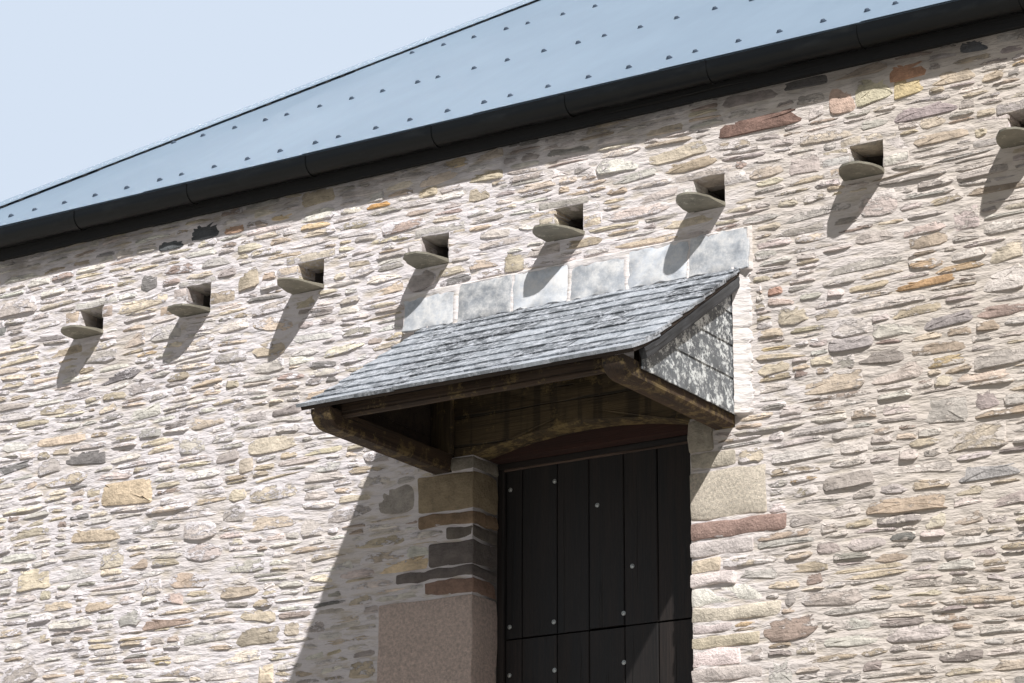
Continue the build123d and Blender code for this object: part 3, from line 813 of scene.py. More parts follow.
@dataclass(frozen=True)
class Timber(Finish):
    """Sawn or riven timber, with its grain along the piece or an axis and lichen on its worn edges."""

    dark: Colour
    light: Colour
    cover: float = 0.0
    axis: str = ""
    bloom: Colour = paint(126, 118, 70)
    roughness: float = 0.8
    depth: float = 0.004
    tinted: bool = False
    worn: float = 0.0
    runs: float = 0.0

    def coat(self, bench: Bench) -> Coat:
        """Wire the grain along the piece's own length, or along one axis of the barn."""
        place = bench.place()
        if self.axis:
            x, y, z = bench.split(place)
            order = {"X": (x, y, z), "Y": (y, x, z)}[self.axis]
            along = bench.put("CombineXYZ", None, *order).outputs[0]
        else:
            along = bench.mark("grain", "Vector")
        wood = bench.group(grain_group(), Vector=along, Dark=self.dark, Light=self.light)
        colour = wood["Colour"]
        if self.tinted:
            colour = bench.mix(1.0, colour, bench.mark("tint", "Color"), "MULTIPLY")
        if self.runs:
            run = bench.noise(bench.stretch(place, (24.0, 1.0, 1.6)), 1.0, 3.0)
            colour = bench.mix(bench.times(bench.step(run, 0.46, 0.62), self.runs), colour, self.dark)
        if self.worn or self.cover:
            cover = bench.plus(bench.times(bench.mark("edge"), self.worn), self.cover)
            grown = {"Bloom": self.bloom, "Scale": 26.0, "Cover": cover, "Soft": 0.16}
            colour = bench.group(lichen_group(), Vector=place, Base=colour, **grown)["Colour"]
        return Coat(colour, self.roughness, wood["Height"], self.depth, sheen=0.3)


@dataclass(frozen=True)
class RoofSheet(Finish):
    """Painted steel sheet, with faint rain streaks down the slope."""

    colour: Colour = paint(122, 138, 154)
    worn: Colour = paint(131, 147, 163)

    def coat(self, bench: Bench) -> Coat:
        """Wire faint clouds and streaks."""
        place = bench.place()
        cloud = bench.noise(place, 0.9, 3.0)
        streak = bench.noise(bench.stretch(place, (14.0, 2.0, 2.0)), 1.0, 3.0)
        tone = bench.plus(bench.times(cloud, 0.6), bench.times(streak, 0.4))
        colour = bench.mix(bench.step(tone, 0.35, 0.7), self.colour, self.worn)
        rough = bench.plus(bench.times(streak, 0.12), 0.5)
        return Coat(colour, rough, height=cloud, depth=0.006, sheen=0.2)


@dataclass(frozen=True)
class BlackPlastic(Finish):
    """Black gutter plastic, dusty in places."""

    colour: Colour = paint(9, 10, 10)
    dust: Colour = paint(25, 26, 26)

    def coat(self, bench: Bench) -> Coat:
        """Wire dust in clouds and runs."""
        dust = bench.noise(bench.stretch(bench.place(), (6.0, 6.0, 22.0)), 1.0, 4.0)
        mask = bench.step(dust, 0.5, 0.78)
        rough = bench.plus(bench.times(mask, 0.3), 0.34)
        colour = bench.mix(mask, self.colour, self.dust)
        return Coat(colour, rough, height=dust, depth=0.0015, sheen=0.16)


@dataclass(frozen=True)
class Zinc(Finish):
    """Dull zinc-plated bolt heads."""

    def coat(self, bench: Bench) -> Coat:
        """Wire a spangled plating."""
        spangle = bench.noise(bench.place(), 220.0, 2.0)
        colour = bench.mix(spangle, paint(190, 192, 188), paint(120, 120, 116))
        return Coat(colour, roughness=0.45, height=spangle, depth=0.0006, sheen=0.5, metallic=0.4)


# Stones


@dataclass(frozen=True)
class Face:
    """A flat face of the walls, seen from outside: along, up and out."""

    origin: tuple[float, float, float]
    along: tuple[float, float, float]
    out: tuple[float, float, float]

    def place(self, u: Array, v: Array, w: Array) -> Array:
        """Turn distances along, up and out into places in space."""
        u, v, w = (np.asarray(part, float)[..., None] for part in (u, v, w))
        up = np.array((0.0, 0.0, 1.0))
        return np.array(self.origin) + u * np.array(self.along) + v * up + w * np.array(self.out)


FRONT = Face((0.0, FRONT_Y, 0.0), (1.0, 0.0, 0.0), (0.0, -1.0, 0.0))
REAR = Face((0.0, REAR_Y, 0.0), (-1.0, 0.0, 0.0), (0.0, 1.0, 0.0))
LEFT = Face((-HALF_LENGTH, CENTRE_Y, 0.0), (0.0, -1.0, 0.0), (-1.0, 0.0, 0.0))
RIGHT = Face((HALF_LENGTH, CENTRE_Y, 0.0), (0.0, 1.0, 0.0), (1.0, 0.0, 0.0))
FACES = {"front": FRONT, "rear": REAR, "left": LEFT, "right": RIGHT}


@dataclass(frozen=True)
class Quarry:
    """The stone that a wall is laid from: its colours, and how often each comes up."""

    colours: tuple[Colour, ...] = tuple(paint(*colour) for colour in (
        (224, 217, 210), (214, 206, 199), (199, 190, 183), (176, 168, 162), (221, 208, 190), (208, 194, 174),
        (196, 181, 162), (184, 167, 157), (220, 197, 164), (139, 135, 133), (224, 212, 204),
    ))
    shares: tuple[float, ...] = (18, 18, 14, 7, 15, 12, 8, 4, 1.5, 1.2, 6)

    def pick(self, amount: int, rng: Rng) -> Array:
        """Pick a linear colour for each stone, one to a row.

        Args:
            amount: How many stones there are.
            rng: The random source.
        """
        shares = np.array(self.shares) / sum(self.shares)
        picked = np.array(self.colours)[rng.choice(len(shares), amount, p=shares)]
        return picked * rng.uniform(0.84, 1.16, (amount, 1)) * rng.uniform(0.97, 1.03, (amount, 3))

    def one(self, rng: Rng) -> Array:
        """Pick a colour for one stone."""
        return self.pick(1, rng)[0]


@dataclass(frozen=True)
class Coursing:
    """Lays flat rubble over a face: each stone goes on the lowest bed that is open."""

    thin: float = 0.024
    thick: float = 0.076
    big: float = 0.13
    big_share: float = 0.06
    shortest: float = 0.08
    longest: float = 0.40
    snap: float = 0.03

    def lay(self, area: Rect, taken: Sequence[Rect], rng: Rng) -> Array:
        """Lay one face.

        Args:
            area: The face's left, right, lower and upper limit.
            taken: The same for each place that must stay free.
            rng: The random source.

        Returns:
            Left, right, lower and upper limit of each stone, one to a row.
        """
        left, right, low, high = area
        bed = [[left, right, low]]
        stones = []
        tiny = 1e-5

        def renew(i: int, *parts: list[float]) -> None:
            """Put new stretches in a bed's place, and join neighbours that lie nearly level."""
            bed[i : i + 1] = [part for part in parts if part[1] - part[0] > tiny]
            k = 0
            while k + 1 < len(bed):
                if abs(bed[k][2] - bed[k + 1][2]) < 0.009:
                    bed[k][1:] = bed[k + 1][1], max(bed[k][2], bed[k + 1][2])
                    del bed[k + 1]
                else:
                    k += 1

        while True:
            i = min(range(len(bed)), key=lambda k: bed[k][2])
            a, b, v = bed[i]
            if v > high - 0.006:
                return np.array(stones)
            beside = [t for t in taken if t[0] < b - tiny and t[1] > a + tiny]
            blocks = [t for t in beside if t[2] <= v + 0.005 and t[3] > v + tiny]
            if blocks:
                start, end = max(a, blocks[0][0]), min(b, blocks[0][1])
                renew(i, [a, start, v], [start, end, blocks[0][3]], [end, b, v])
                continue
            if b - a < 0.045:
                renew(i, [a, b, min([bed[k][2] for k in (i - 1, i + 1) if 0 <= k < len(bed)] or [high])])
                continue
            height = self.thin + (self.thick - self.thin) * rng.beta(1.3, 2.0)
            if rng.random() < self.big_share:
                height = rng.uniform(self.thick, self.big)
            length = float(np.clip(height * rng.uniform(1.9, 6.0), self.shortest, self.longest))
            if height > self.thick:
                length = height * rng.uniform(1.5, 3.2)
            if b - a - length < 0.09:
                length = b - a if b - a < self.longest else (b - a) * rng.uniform(0.35, 0.65)
            p = a if rng.random() < 0.5 else b - length
            q = p + length
            level = -1.0
            if p == a and i > 0:
                level = bed[i - 1][2]
            elif q == b and i + 1 < len(bed):
                level = bed[i + 1][2]
            if level - v > self.thin * 0.8 and abs(v + height - level) < self.snap:
                height = level - v
            above = [t[2] for t in taken if t[0] < q - 0.012 and t[1] > p + 0.012 and t[2] > v]
            room = min(above + [high]) - v
            if room - height < 0.02:
                height = room if room < self.big else room / 2
            if height > 0.014:
                stones += self.split(p, q, v, v + height, rng)
            renew(i, [a, p, v], [p, q, v + height], [q, b, v])

    @staticmethod
    def split(left: float, right: float, low: float, high: float, rng: Rng) -> list[Rect]:
        """Lay one stone in a place, or now and then two thin ones of unlike length."""
        if not 0.045 < high - low < 0.075 or rng.random() > 0.4:
            return [(left, right, low, high)]
        middle = low + (high - low) * rng.uniform(0.35, 0.65)
        shift = (right - left) * rng.uniform(-0.25, 0.25)
        if abs(shift) < 0.03 or right - left < 0.24:
            return [(left, right, low, middle), (left, right, middle, high)]
        meet = (left + right) / 2 + shift
        return [(left, right, low, middle), (left, meet, middle, high), (meet, right, middle, high)]


@dataclass(frozen=True)
class StoneShape:
    """How stones of a field are cut, set and stood out from the wall."""

    sides: int = 14
    rings: int = 4
    foot: tuple[float, float] = (0.003, 0.0095)
    crown: tuple[float, float] = (-0.0065, 0.0005)
    jag: tuple[float, float] = (0.78, 1.06)
    wedge: float = 0.5

    def add(
        self, heap: Heap, face: Face, stones: Array, tints: Array, rng: Rng, warp: Warp | None = None
    ) -> None:
        """Add a field of stones, each proud at its foot and flush with the mortar at its crown.

        Args:
            heap: What they are added to.
            face: The wall's face.
            stones: Left, right, lower and upper limit of each, one to a row.
            tints: One linear colour to a row.
            rng: The random source.
            warp: Gives how far a point along and up the face is lifted, where the beds wave.
        """
        n, m = len(stones), self.sides

        def draw(low: float, high: float, columns: int = 1) -> Array:
            """Draw a number for each stone."""
            return rng.uniform(low, high, (n, columns))

        left, right, low, high = stones.T[:, :, None]
        hu = np.maximum((right - left) / 2 + draw(-0.010, 0.008), 0.01)
        hv = np.maximum((high - low) / 2 + draw(-0.005, 0.005), 0.005)
        turn = (np.arange(m) + 0.5) / m * math.tau + rng.uniform(-0.12, 0.12, (n, m))
        square = draw(2.4, 8.0)
        cosine, sine = np.cos(turn), np.sin(turn)
        u = np.sign(cosine) * np.abs(cosine) ** (2 / square) * draw(self.jag[0] + 0.06, self.jag[1] - 0.01, m)
        v = np.sign(sine) * np.abs(sine) ** (2 / square) * draw(*self.jag, m)
        side = np.where(draw(0, 1) < 0.5, 1.0, -1.0)
        wedge = np.where(draw(0, 1) < 0.35, draw(0.2, 1.0) * self.wedge, 0.0)
        narrow = 1 - wedge * np.clip(0.5 + side * u / 2, 0, 1)
        shift = draw(-1.0, 1.0)
        slope = rng.normal(0, 0.028, (n, 1))
        foot, crown = draw(*self.foot), draw(*self.crown)
        foot = foot + np.where(draw(0, 1) < 0.06, 0.008, 0.0)
        fall, swing = draw(0.6, 1.7), rng.normal(0, 0.003, (n, 1))

        def shaped(scale_u: object, scale_v: object, out: object, mark: float) -> tuple[Array, ...]:
            """Place one ring of points: along, up, out and how near an edge they are."""
            ring_u, ring_v = u * scale_u, v * scale_v
            proud = crown + (foot - crown) * np.clip(0.5 - ring_v / 2, 0, 1) ** fall + swing * ring_u
            proud = proud - (proud + 0.004) * np.abs(ring_u) ** 6 * 0.8
            lift = hv * (ring_v * narrow - (1 - narrow) * shift) + slope * hu * ring_u
            return hu * ring_u, lift, proud + out, mark * np.clip(0.5 + ring_v, 0.15, 1.0)

        inset_u, inset_v = 1 - np.minimum(0.007 / hu, 0.4), 1 - np.minimum(0.0035 / hv, 0.3)
        layers = [
            shaped(0.97, 0.90, -0.022, 1.0),
            shaped(1.0, 1.0, -0.004 * draw(0.3, 1.2, m), 1.0),
            shaped(inset_u, inset_v, draw(-0.0012, 0.0012, m), 0.75),
            shaped(draw(0.5, 0.7, m), draw(0.35, 0.6, m), draw(-0.0015, 0.004, m), 0.1),
        ]
        if self.rings < 4:
            del layers[1]
        none = np.zeros((n, 1))
        sag = -hv * shift * (1 - narrow.mean(1, keepdims=True))
        layers.append((none, sag, (foot + crown) / 2 + draw(-0.001, 0.004), none))
        all_u, all_v, all_w, marks = (np.hstack(part) for part in zip(*layers))
        all_u = all_u + stones[:, :2].mean(1)[:, None]
        all_v = all_v + stones[:, 2:].mean(1)[:, None]
        if warp is not None:
            all_v = all_v + warp(all_u, all_v)
        rings = len(layers) - 1
        a = np.arange(m)
        last = m * (rings - 1)
        starts = (np.arange(n) * all_u.shape[1])[:, None, None]
        quads = np.vstack([ring_faces(m * k, m * k + m, m) for k in range(rings - 1)])
        fan = np.column_stack([last + a, last + (a + 1) % m, np.full(m, m * rings)])
        faces = [(quads + starts).reshape(-1, 4), (fan + starts).reshape(-1, 3)]
        points = face.place(all_u.ravel(), np.maximum(all_v, 0.002).ravel(), all_w.ravel())
        marks = marks + rng.normal(0, 0.22, (n, 1))
        heap.add(points, faces, np.repeat(tints, all_u.shape[1], axis=0), marks.ravel())


def draw_seed(rng: Rng) -> int:
    """Draw a seed for another unevenness."""
    return int(rng.integers(1 << 30))


def stack(low: float, high: float, thin: float, thick: float, rng: Rng) -> list[tuple[float, float]]:
    """Divide a height into stones, and give the lower and upper edge of each.

    Args:
        low, high: The height's two ends.
        thin, thick: The least and most a stone may be.
        rng: The random source.
    """
    levels = [low]
    while high - levels[-1] > thick:
        levels.append(levels[-1] + rng.uniform(thin, thick))
    return list(zip(levels, [*levels[1:], high]))


# The front's stones that stand out by colour: left, right, lower and upper limit, and screen colour
CHOSEN = (
    (1.205, 1.35, 5.885, 6.01, 200, 174, 158), (1.33, 1.515, 5.885, 6.03, 208, 198, 172),
    (1.485, 1.66, 5.965, 6.06, 196, 152, 124), (1.495, 1.655, 5.885, 5.98, 212, 192, 152),
    (1.0, 1.22, 6.03, 6.08, 100, 98, 98), (0.895, 0.99, 5.155, 5.21, 184, 150, 134),
    (0.90, 1.04, 5.10, 5.145, 196, 178, 168), (1.50, 1.79, 5.79, 5.855, 170, 156, 154),
    (-2.37, -2.19, 5.94, 6.0, 104, 106, 108), (-1.97, -1.83, 5.95, 6.0, 199, 166, 143),
    (0.67, 1.10, 5.885, 5.965, 132, 107, 97), (-2.16, -1.99, 5.955, 6.045, 88, 90, 92),
    (1.80, 1.935, 6.02, 6.085, 98, 100, 104), (-2.64, -2.32, 4.705, 4.825, 214, 194, 168),
    (-2.84, -2.49, 4.55, 4.64, 201, 184, 163), (-1.78, -1.46, 4.84, 4.925, 221, 208, 189),
    (-2.35, -2.03, 4.10, 4.15, 177, 156, 143), (1.47, 1.74, 5.065, 5.115, 180, 148, 114),
    (1.70, 1.98, 4.25, 4.33, 173, 168, 165), (1.59, 1.81, 4.89, 4.955, 165, 156, 153),
    (1.18, 1.37, 4.86, 4.92, 177, 168, 165), (1.35, 1.59, 4.70, 4.785, 202, 188, 178),
    (-1.14, -0.99, 5.915, 5.955, 204, 162, 112), (-0.59, -0.38, 5.93, 5.99, 203, 190, 167),
    (-0.86, -0.74, 5.92, 5.975, 209, 194, 170), (-2.71, -2.52, 4.22, 4.28, 195, 178, 159),
    (-1.05, -0.83, 4.46, 4.60, 166, 158, 150),
)


@dataclass
class Masonry:
    """The rubble walls: fields of flat stones, corner blocks, jamb blocks and chosen stones."""

    quarry: Quarry = field(default_factory=Quarry)
    stone: WallStone = WallStone("wall_stone")
    block: WallStone = WallStone(
        "block_stone", smear=0.62, speckle=0.8, bedding=0.35, scale=90.0, depth=0.016
    )
    granite: WallStone = WallStone(
        "jamb_granite", smear=0.95, speckle=1.3, bedding=0.0, scale=330.0, depth=0.009
    )
    mortar: LimeMortar = LimeMortar("wall_mortar")
    ordinary: StoneShape = StoneShape()
    chosen: StoneShape = StoneShape(sides=22, foot=(0.006, 0.0095), jag=(0.95, 1.04), wedge=0.3)
    low: StoneShape = StoneShape(sides=9, rings=3)
    plain: StoneShape = StoneShape(sides=8, rings=3)
    taken: dict[str, list[Rect]] = field(default_factory=lambda: {face: [] for face in FACES})
    blocks: Heap = field(default_factory=Heap)
    edges: Heap = field(default_factory=Heap)
    dressed: Heap = field(default_factory=Heap)

    def build(self) -> None:
        """Place the fixed blocks first, then lay the fields round them."""
        self.reserve()
        self.corner_blocks()
        self.upper_jambs()
        self.lower_jambs()
        self.hole_edges()
        self.blocks.piece("jamb_and_corner_stones", Slot.RUBBLE, self.block)
        self.edges.piece("hole_edge_stones", Slot.RUBBLE, self.stone)
        self.dressed.piece("granite_blocks", Slot.GRANITE, self.granite)
        self.front_field()
        self.other_fields()
        self.dress_mortar()

    def keep(self, face: str, u: Sequence[float], low: float, high: float) -> None:
        """Keep a place on a face free of field stones."""
        self.taken[face].append((min(u), max(u), low, high))

    def reserve(self) -> None:
        """Keep the front's openings, timbers, slates and fillets free of stones."""
        lintel, flashing, doorway, sill, bracket, fillet = map(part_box, (
            "arched_lintel", "hood_flashing", "doorway_lintels", "door_threshold", "hood_brackets",
            "hood_mortar_fillets",
        ))
        for low, high in (lintel, flashing, doorway, sill):
            self.keep("front", (low.x, high.x), low.z, high.z)
        hood_head = (0.80, 5.262, 5.32)
        for half, low, high in ((DOOR_HALF, 0.0, doorway[0].z), (DOOR_HALF, sill[0].z, HEAD_Z), hood_head):
            self.keep("front", (-half, half), low, high)
        for side in (-1, 1):
            self.keep("front", [side * u for u in BRACKET_SIDES], bracket[0].z, bracket[1].z)
            self.keep("front", [side * u for u in FILLET_SIDES], fillet[0].z, fillet[1].z + 0.07)

    def corner_blocks(self) -> None:
        """Bond the four corners with blocks that are long on one face and short on the next."""
        rng = np.random.default_rng(11)
        for x_side, y_side in ((-1, -1), (1, -1), (1, 1), (-1, 1)):
            x, y = x_side * HALF_LENGTH, FRONT_Y if y_side < 0 else REAR_Y
            for k, (low, high) in enumerate(stack(0.0, WALL_TOP_Z, 0.07, 0.21, rng)):
                reach = [rng.uniform(0.34, 0.56), rng.uniform(0.17, 0.27)]
                if k % 2:
                    reach.reverse()
                proud = rng.uniform(0.005, 0.014)
                inner = x - x_side * reach[0], y - y_side * reach[1]
                outer = x + x_side * proud, y + y_side * proud
                rough_block(
                    self.blocks, (*outer, low + 0.006), (*inner, high - 0.006), self.quarry.one(rng),
                    draw_seed(rng), bevel=0.014, rough=0.006, step=0.09,
                )
                face, end = "front" if y_side < 0 else "rear", "left" if x_side < 0 else "right"
                self.keep(face, [-y_side * u for u in (x, inner[0])], low, high)
                self.keep(end, [x_side * (v - CENTRE_Y) for v in (y, inner[1])], low, high)

    def jamb(
        self, side: int, low: float, high: float, length: float, depth: float, tint: Colour, seed: int,
        proud: float, bevel: float = 0.012, dressed: bool = False,
    ) -> None:
        """Set one stone at the edge of an opening and keep its place in the field.

        Args:
            side: -1 for the left edge, 1 for the right.
            low, high: Its bed and its top.
            length: Its length along the face.
            depth: How far it goes into the opening's side.
            tint: Its linear colour.
            seed: Picks its unevenness.
            proud: How far it stands out of the wall and into the opening.
            bevel: How far its arrises are rounded.
            dressed: Whether it is a granite block.
        """
        heap, rough = (self.dressed, 0.004) if dressed else (self.blocks, 0.006)
        start, end = side * (DOOR_HALF - proud), side * (DOOR_HALF + length)
        rough_block(
            heap, (start, FRONT_Y - proud, low + 0.004), (end, FRONT_Y + depth, high - 0.004), tint, seed,
            bevel, rough, 0.035 if high - low < 0.1 else 0.06,
        )
        self.keep("front", (side * DOOR_HALF, end), low, high)

    def upper_jambs(self) -> None:
        """Set the stones beside the upper door, with the big granite blocks in their places."""
        rng = np.random.default_rng(23)
        depth = 0.193
        granite_tops = (4.07, 4.455)
        sill_low, sill_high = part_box("door_threshold")
        for side, thick, first, fixed in (
            (-1, 0.13, 3.62, (
                (4.07, 0.485, (213, 193, 183)), (4.145, 0.25, (146, 120, 106)), (4.20, 0.40, (112, 104, 100)),
                (4.31, 0.22, (112, 104, 100)), (4.375, 0.14, (112, 104, 96)), (4.44, 0.28, (140, 118, 96)),
                (4.615, 0.29, (150, 134, 110)), (HEAD_Z, 0.11, (140, 132, 120)),
            )),
            (1, 0.085, 4.16, (
                (4.24, 0.435, (164, 138, 128)), (4.455, 0.35, (218, 206, 189)), (4.53, 0.21, (190, 180, 164)),
                (HEAD_Z, 0.11, (176, 166, 150)),
            )),
        ):
            low = first
            for high, length, colour in fixed:
                seed, proud = draw_seed(rng), rng.uniform(0.004, 0.012)
                dressed = high in granite_tops
                self.jamb(side, low, high, length, depth, paint(*colour), seed, proud, dressed=dressed)
                low = high
            for low, high in stack(sill_high.z, first, 0.035, thick, rng):
                length, tint, seed = rng.uniform(0.12, 0.40), self.quarry.one(rng), draw_seed(rng)
                proud = rng.uniform(0.0, 0.014)
                self.jamb(side, low, high, length, depth, tint, seed, proud, bevel=0.009)
        tint = paint(150, 146, 138)
        rough_block(self.dressed, sill_low, sill_high, tint, seed=5, bevel=0.014, rough=0.003, step=0.08)

    def lower_jambs(self) -> None:
        """Set the bigger blocks beside the ground doorway, and lay its deep sides."""
        rng = np.random.default_rng(31)
        low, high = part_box("doorway_lintels")
        top, wall_depth, depth = low.z, high.y - FRONT_Y, 0.26
        for side in (-1, 1):
            for low, high in stack(0.0, top, 0.10, 0.24, rng):
                length, tint, seed = rng.uniform(0.22, 0.5), self.quarry.one(rng), draw_seed(rng)
                proud = rng.uniform(0.002, 0.010)
                self.jamb(side, low, high, length, depth, tint, seed, proud, bevel=0.014)
            reveal = Face((side * DOOR_HALF, FRONT_Y, 0.0), (0.0, -side, 0.0), (-side, 0.0, 0.0))
            near, far = sorted((-side * (depth + 0.005), -side * wall_depth))
            stones = Coursing(thin=0.03, thick=0.08).lay((near, far, 0.0, top), [], rng)
            StoneShape(rings=3).add(self.blocks, reveal, stones, self.quarry.pick(len(stones), rng), rng)

    def hole_edges(self) -> None:
        """Set a thin slate over each pigeon hole and small stones at its sides."""
        rng = np.random.default_rng(47)
        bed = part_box("pigeon_perches")[1].z
        for centre in HOLE_CENTRES:
            self.keep("front", (centre - HOLE_HALF, centre + HOLE_HALF), BAND_Z, HOLE_TOP_Z)
            left, right = (centre + side for side in PERCH_SIDES)
            self.keep("front", (left - 0.006, right + 0.006), BAND_Z - 0.004, bed)
            reach = rng.uniform(0.10, 0.17, 2)
            top = HOLE_TOP_Z + rng.uniform(0.028, 0.05)
            tint = self.quarry.one(rng) * 0.85
            rough_block(
                self.edges, (centre - reach[0], FRONT_Y - rng.uniform(0.0, 0.006), HOLE_TOP_Z - 0.004),
                (centre + reach[1], FRONT_Y + 0.16, top), tint, draw_seed(rng), bevel=0.008, rough=0.005,
                step=0.05,
            )
            self.keep("front", (centre - reach[0], centre + reach[1]), HOLE_TOP_Z, top)
            for side in (-1, 1):
                for low, high in stack(bed, HOLE_TOP_Z, 0.035, 0.075, rng):
                    length = rng.uniform(0.05, 0.16)
                    inner = centre + side * (HOLE_HALF - rng.uniform(-0.002, 0.010))
                    outer = centre + side * (HOLE_HALF + length)
                    rough_block(
                        self.edges, (inner, FRONT_Y - rng.uniform(-0.002, 0.003), low + 0.003),
                        (outer, FRONT_Y + 0.13, high - 0.002), self.quarry.one(rng), draw_seed(rng),
                        bevel=0.008, rough=0.004, step=0.05,
                    )
                    self.keep("front", (centre + side * HOLE_HALF, outer), low, high)

    @staticmethod
    def waves(seed: int, taken: Sequence[Rect]) -> Warp:
        """Give a face's bed waves, which die out at its openings and fixed stones.

        Args:
            seed: Picks the waves.
            taken: The places that stay as they are.

        Returns:
            A function from places along and up the face to the lift.
        """
        rng = np.random.default_rng(seed)
        waves = [(rng.uniform(1.0, 6.0), rng.uniform(-1.2, 1.2), rng.uniform(0, math.tau)) for _ in range(6)]

        def lift(u: Array, v: Array) -> Array:
            """Work out the lift."""
            total = sum(np.sin(u * a + v * b * 2.5 + c) for a, b, c in waves) * 0.006
            x, z = u[:, -1], v[:, -1]
            calm = np.clip(np.minimum(z, WALL_TOP_Z - z) / 0.25, 0, 1)
            for a, b, c, d in taken:
                beside, above = np.maximum(a - x, x - b), np.maximum(c - z, z - d)
                away = np.hypot(np.maximum(beside, 0), np.maximum(above, 0))
                calm = np.minimum(calm, np.clip((away - 0.02) / 0.2, 0, 1))
            return total * calm[:, None]

        return lift

    def front_field(self) -> None:
        """Lay the front in one go, and make it into pieces of a workable size."""
        rng = np.random.default_rng(101)
        taken = self.taken["front"] + [row[:4] for row in CHOSEN]
        stones = Coursing().lay((-HALF_LENGTH, HALF_LENGTH, 0.0, WALL_TOP_Z), taken, rng)
        tints = self.quarry.pick(len(stones), rng)
        buff = np.clip((stones[:, :1] + 0.8) / 2.2, 0, 1)
        tints = tints * (1 - buff * np.array((0.19, 0.215, 0.23)))
        warp = self.waves(7, taken)
        places, paints = np.array([row[:4] for row in CHOSEN]), np.array([paint(*row[4:]) for row in CHOSEN])
        x, z = stones[:, :2].mean(1), stones[:, 2:].mean(1)
        seen, left = z > 3.2, x < -1.0
        for name, finish, shape, laid, colours in (
            ("chosen_stones", self.block, self.chosen, places, paints),
            ("front_rubble_high_left", self.stone, self.ordinary, stones[seen & left], tints[seen & left]),
            ("front_rubble_high_right", self.stone, self.ordinary, stones[seen & ~left], tints[seen & ~left]),
            ("front_rubble_low", self.stone, self.low, stones[~seen], tints[~seen]),
        ):
            heap = Heap()
            shape.add(heap, FRONT, laid, colours, rng, warp)
            heap.piece(name, Slot.RUBBLE, finish, crease=STONE_CREASE)

    def other_fields(self) -> None:
        """Lay the rear and the two ends with slightly bigger stones."""
        coursing = Coursing(thin=0.034, thick=0.088, big=0.135)
        for name, half, seed, cut in (
            ("rear", HALF_LENGTH, 211, 2.8), ("left", HALF_DEPTH, 223, 0.0), ("right", HALF_DEPTH, 227, 0.0)
        ):
            rng = np.random.default_rng(seed)
            taken = self.taken[name]
            stones = coursing.lay((-half, half, 0.0, WALL_TOP_Z), taken, rng)
            tints = self.quarry.pick(len(stones), rng)
            warp = self.waves(seed + 1, taken)
            low = stones[:, 2:].mean(1) < cut
            parts = (("_rubble_low", low), ("_rubble_high", ~low)) if cut else (("_rubble", ~low),)
            for label, which in parts:
                heap = Heap()
                self.plain.add(heap, FACES[name], stones[which], tints[which], rng, warp)
                heap.piece(name + label, Slot.RUBBLE, self.stone)

    def dress_mortar(self) -> None:
        """Give the walls' own solids their mortar, which shows between the stones and inside."""
        walls = [name for name in sorted(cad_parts) if "wall" in name or name.startswith("pigeon_hole")]
        dress(self.mortar, *[name for name in walls if name != "wall_plates"])


def dress(finish: Finish, *names: str) -> None:
    """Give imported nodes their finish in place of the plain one."""
    for name in names:
        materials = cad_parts[name].data.materials
        materials.clear()
        materials.append(finish.material())
        log.info("%s: packed solid, finish %s", name, finish.name)


@dataclass
class PigeonBand:
    """The slate perches under the pigeon holes."""

    slate: Slate = Slate("perch_slate", bloom=paint(180, 174, 156), cover=0.12, scale=40.0, soft=0.2)
    run_in: float = 0.16
    reach: float = 0.223
    reaches: tuple[float, ...] = (0.92, 0.74, 0.70, 0.96, 0.85, 0.88, 0.97, 0.75, 0.86, 0.82, 0.90)

    def build(self) -> None:
        """Lay one rough tongue of slate under each hole."""
        rng = np.random.default_rng(61)
        heap = Heap()
        low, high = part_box("pigeon_perches")
        left, right = PERCH_SIDES
        tail_u, tail_v = (-0.05, -0.05, 0.07, 0.07), (-0.02, -self.run_in, -self.run_in, -0.02)
        turn = np.linspace(0, math.pi, 17)
        for hole, share in zip(HOLE_CENTRES, self.reaches):
            centre = hole + (left + right) / 2
            half = (right - left) / 2 * rng.uniform(0.88, 0.98)
            power = 2 / rng.uniform(1.9, 2.6)
            nose_u = half * np.sign(np.cos(turn)) * np.abs(np.cos(turn)) ** power
            nose_v = self.reach * share * np.abs(np.sin(turn)) ** power
            nose = np.column_stack([nose_u + rng.normal(0, 0.05) * nose_v, nose_v])
            nose += rng.uniform(-0.0035, 0.0035, nose.shape)
            outline = np.vstack([nose, (-half, -0.01), np.column_stack([tail_u, tail_v]), (half, -0.01)])
            tilt = rng.normal(0, 0.012, 2)

            def place(u: Array, v: Array, w: Array) -> Array:
                """Lay the slate level but for a slight tilt, inside its own thickness, and thin its nose."""
                thin = 1 - 0.5 * np.clip((v + 0.02) / 0.12, 0, 1)
                z = low.z + 0.002 + (w - 0.002) * thin + u * tilt[0] + v * tilt[1]
                return np.column_stack([centre + u, FRONT_Y - v, np.clip(z, low.z, high.z)])

            tint = np.array(paint(128, 123, 109)) * rng.uniform(0.75, 1.05)
            plate(heap, outline, place, top=0.024, thickness=0.022, bevel=0.004, tint=tint)
        heap.piece("perch_slates", Slot.SLATE, self.slate, ("pigeon_perches",))


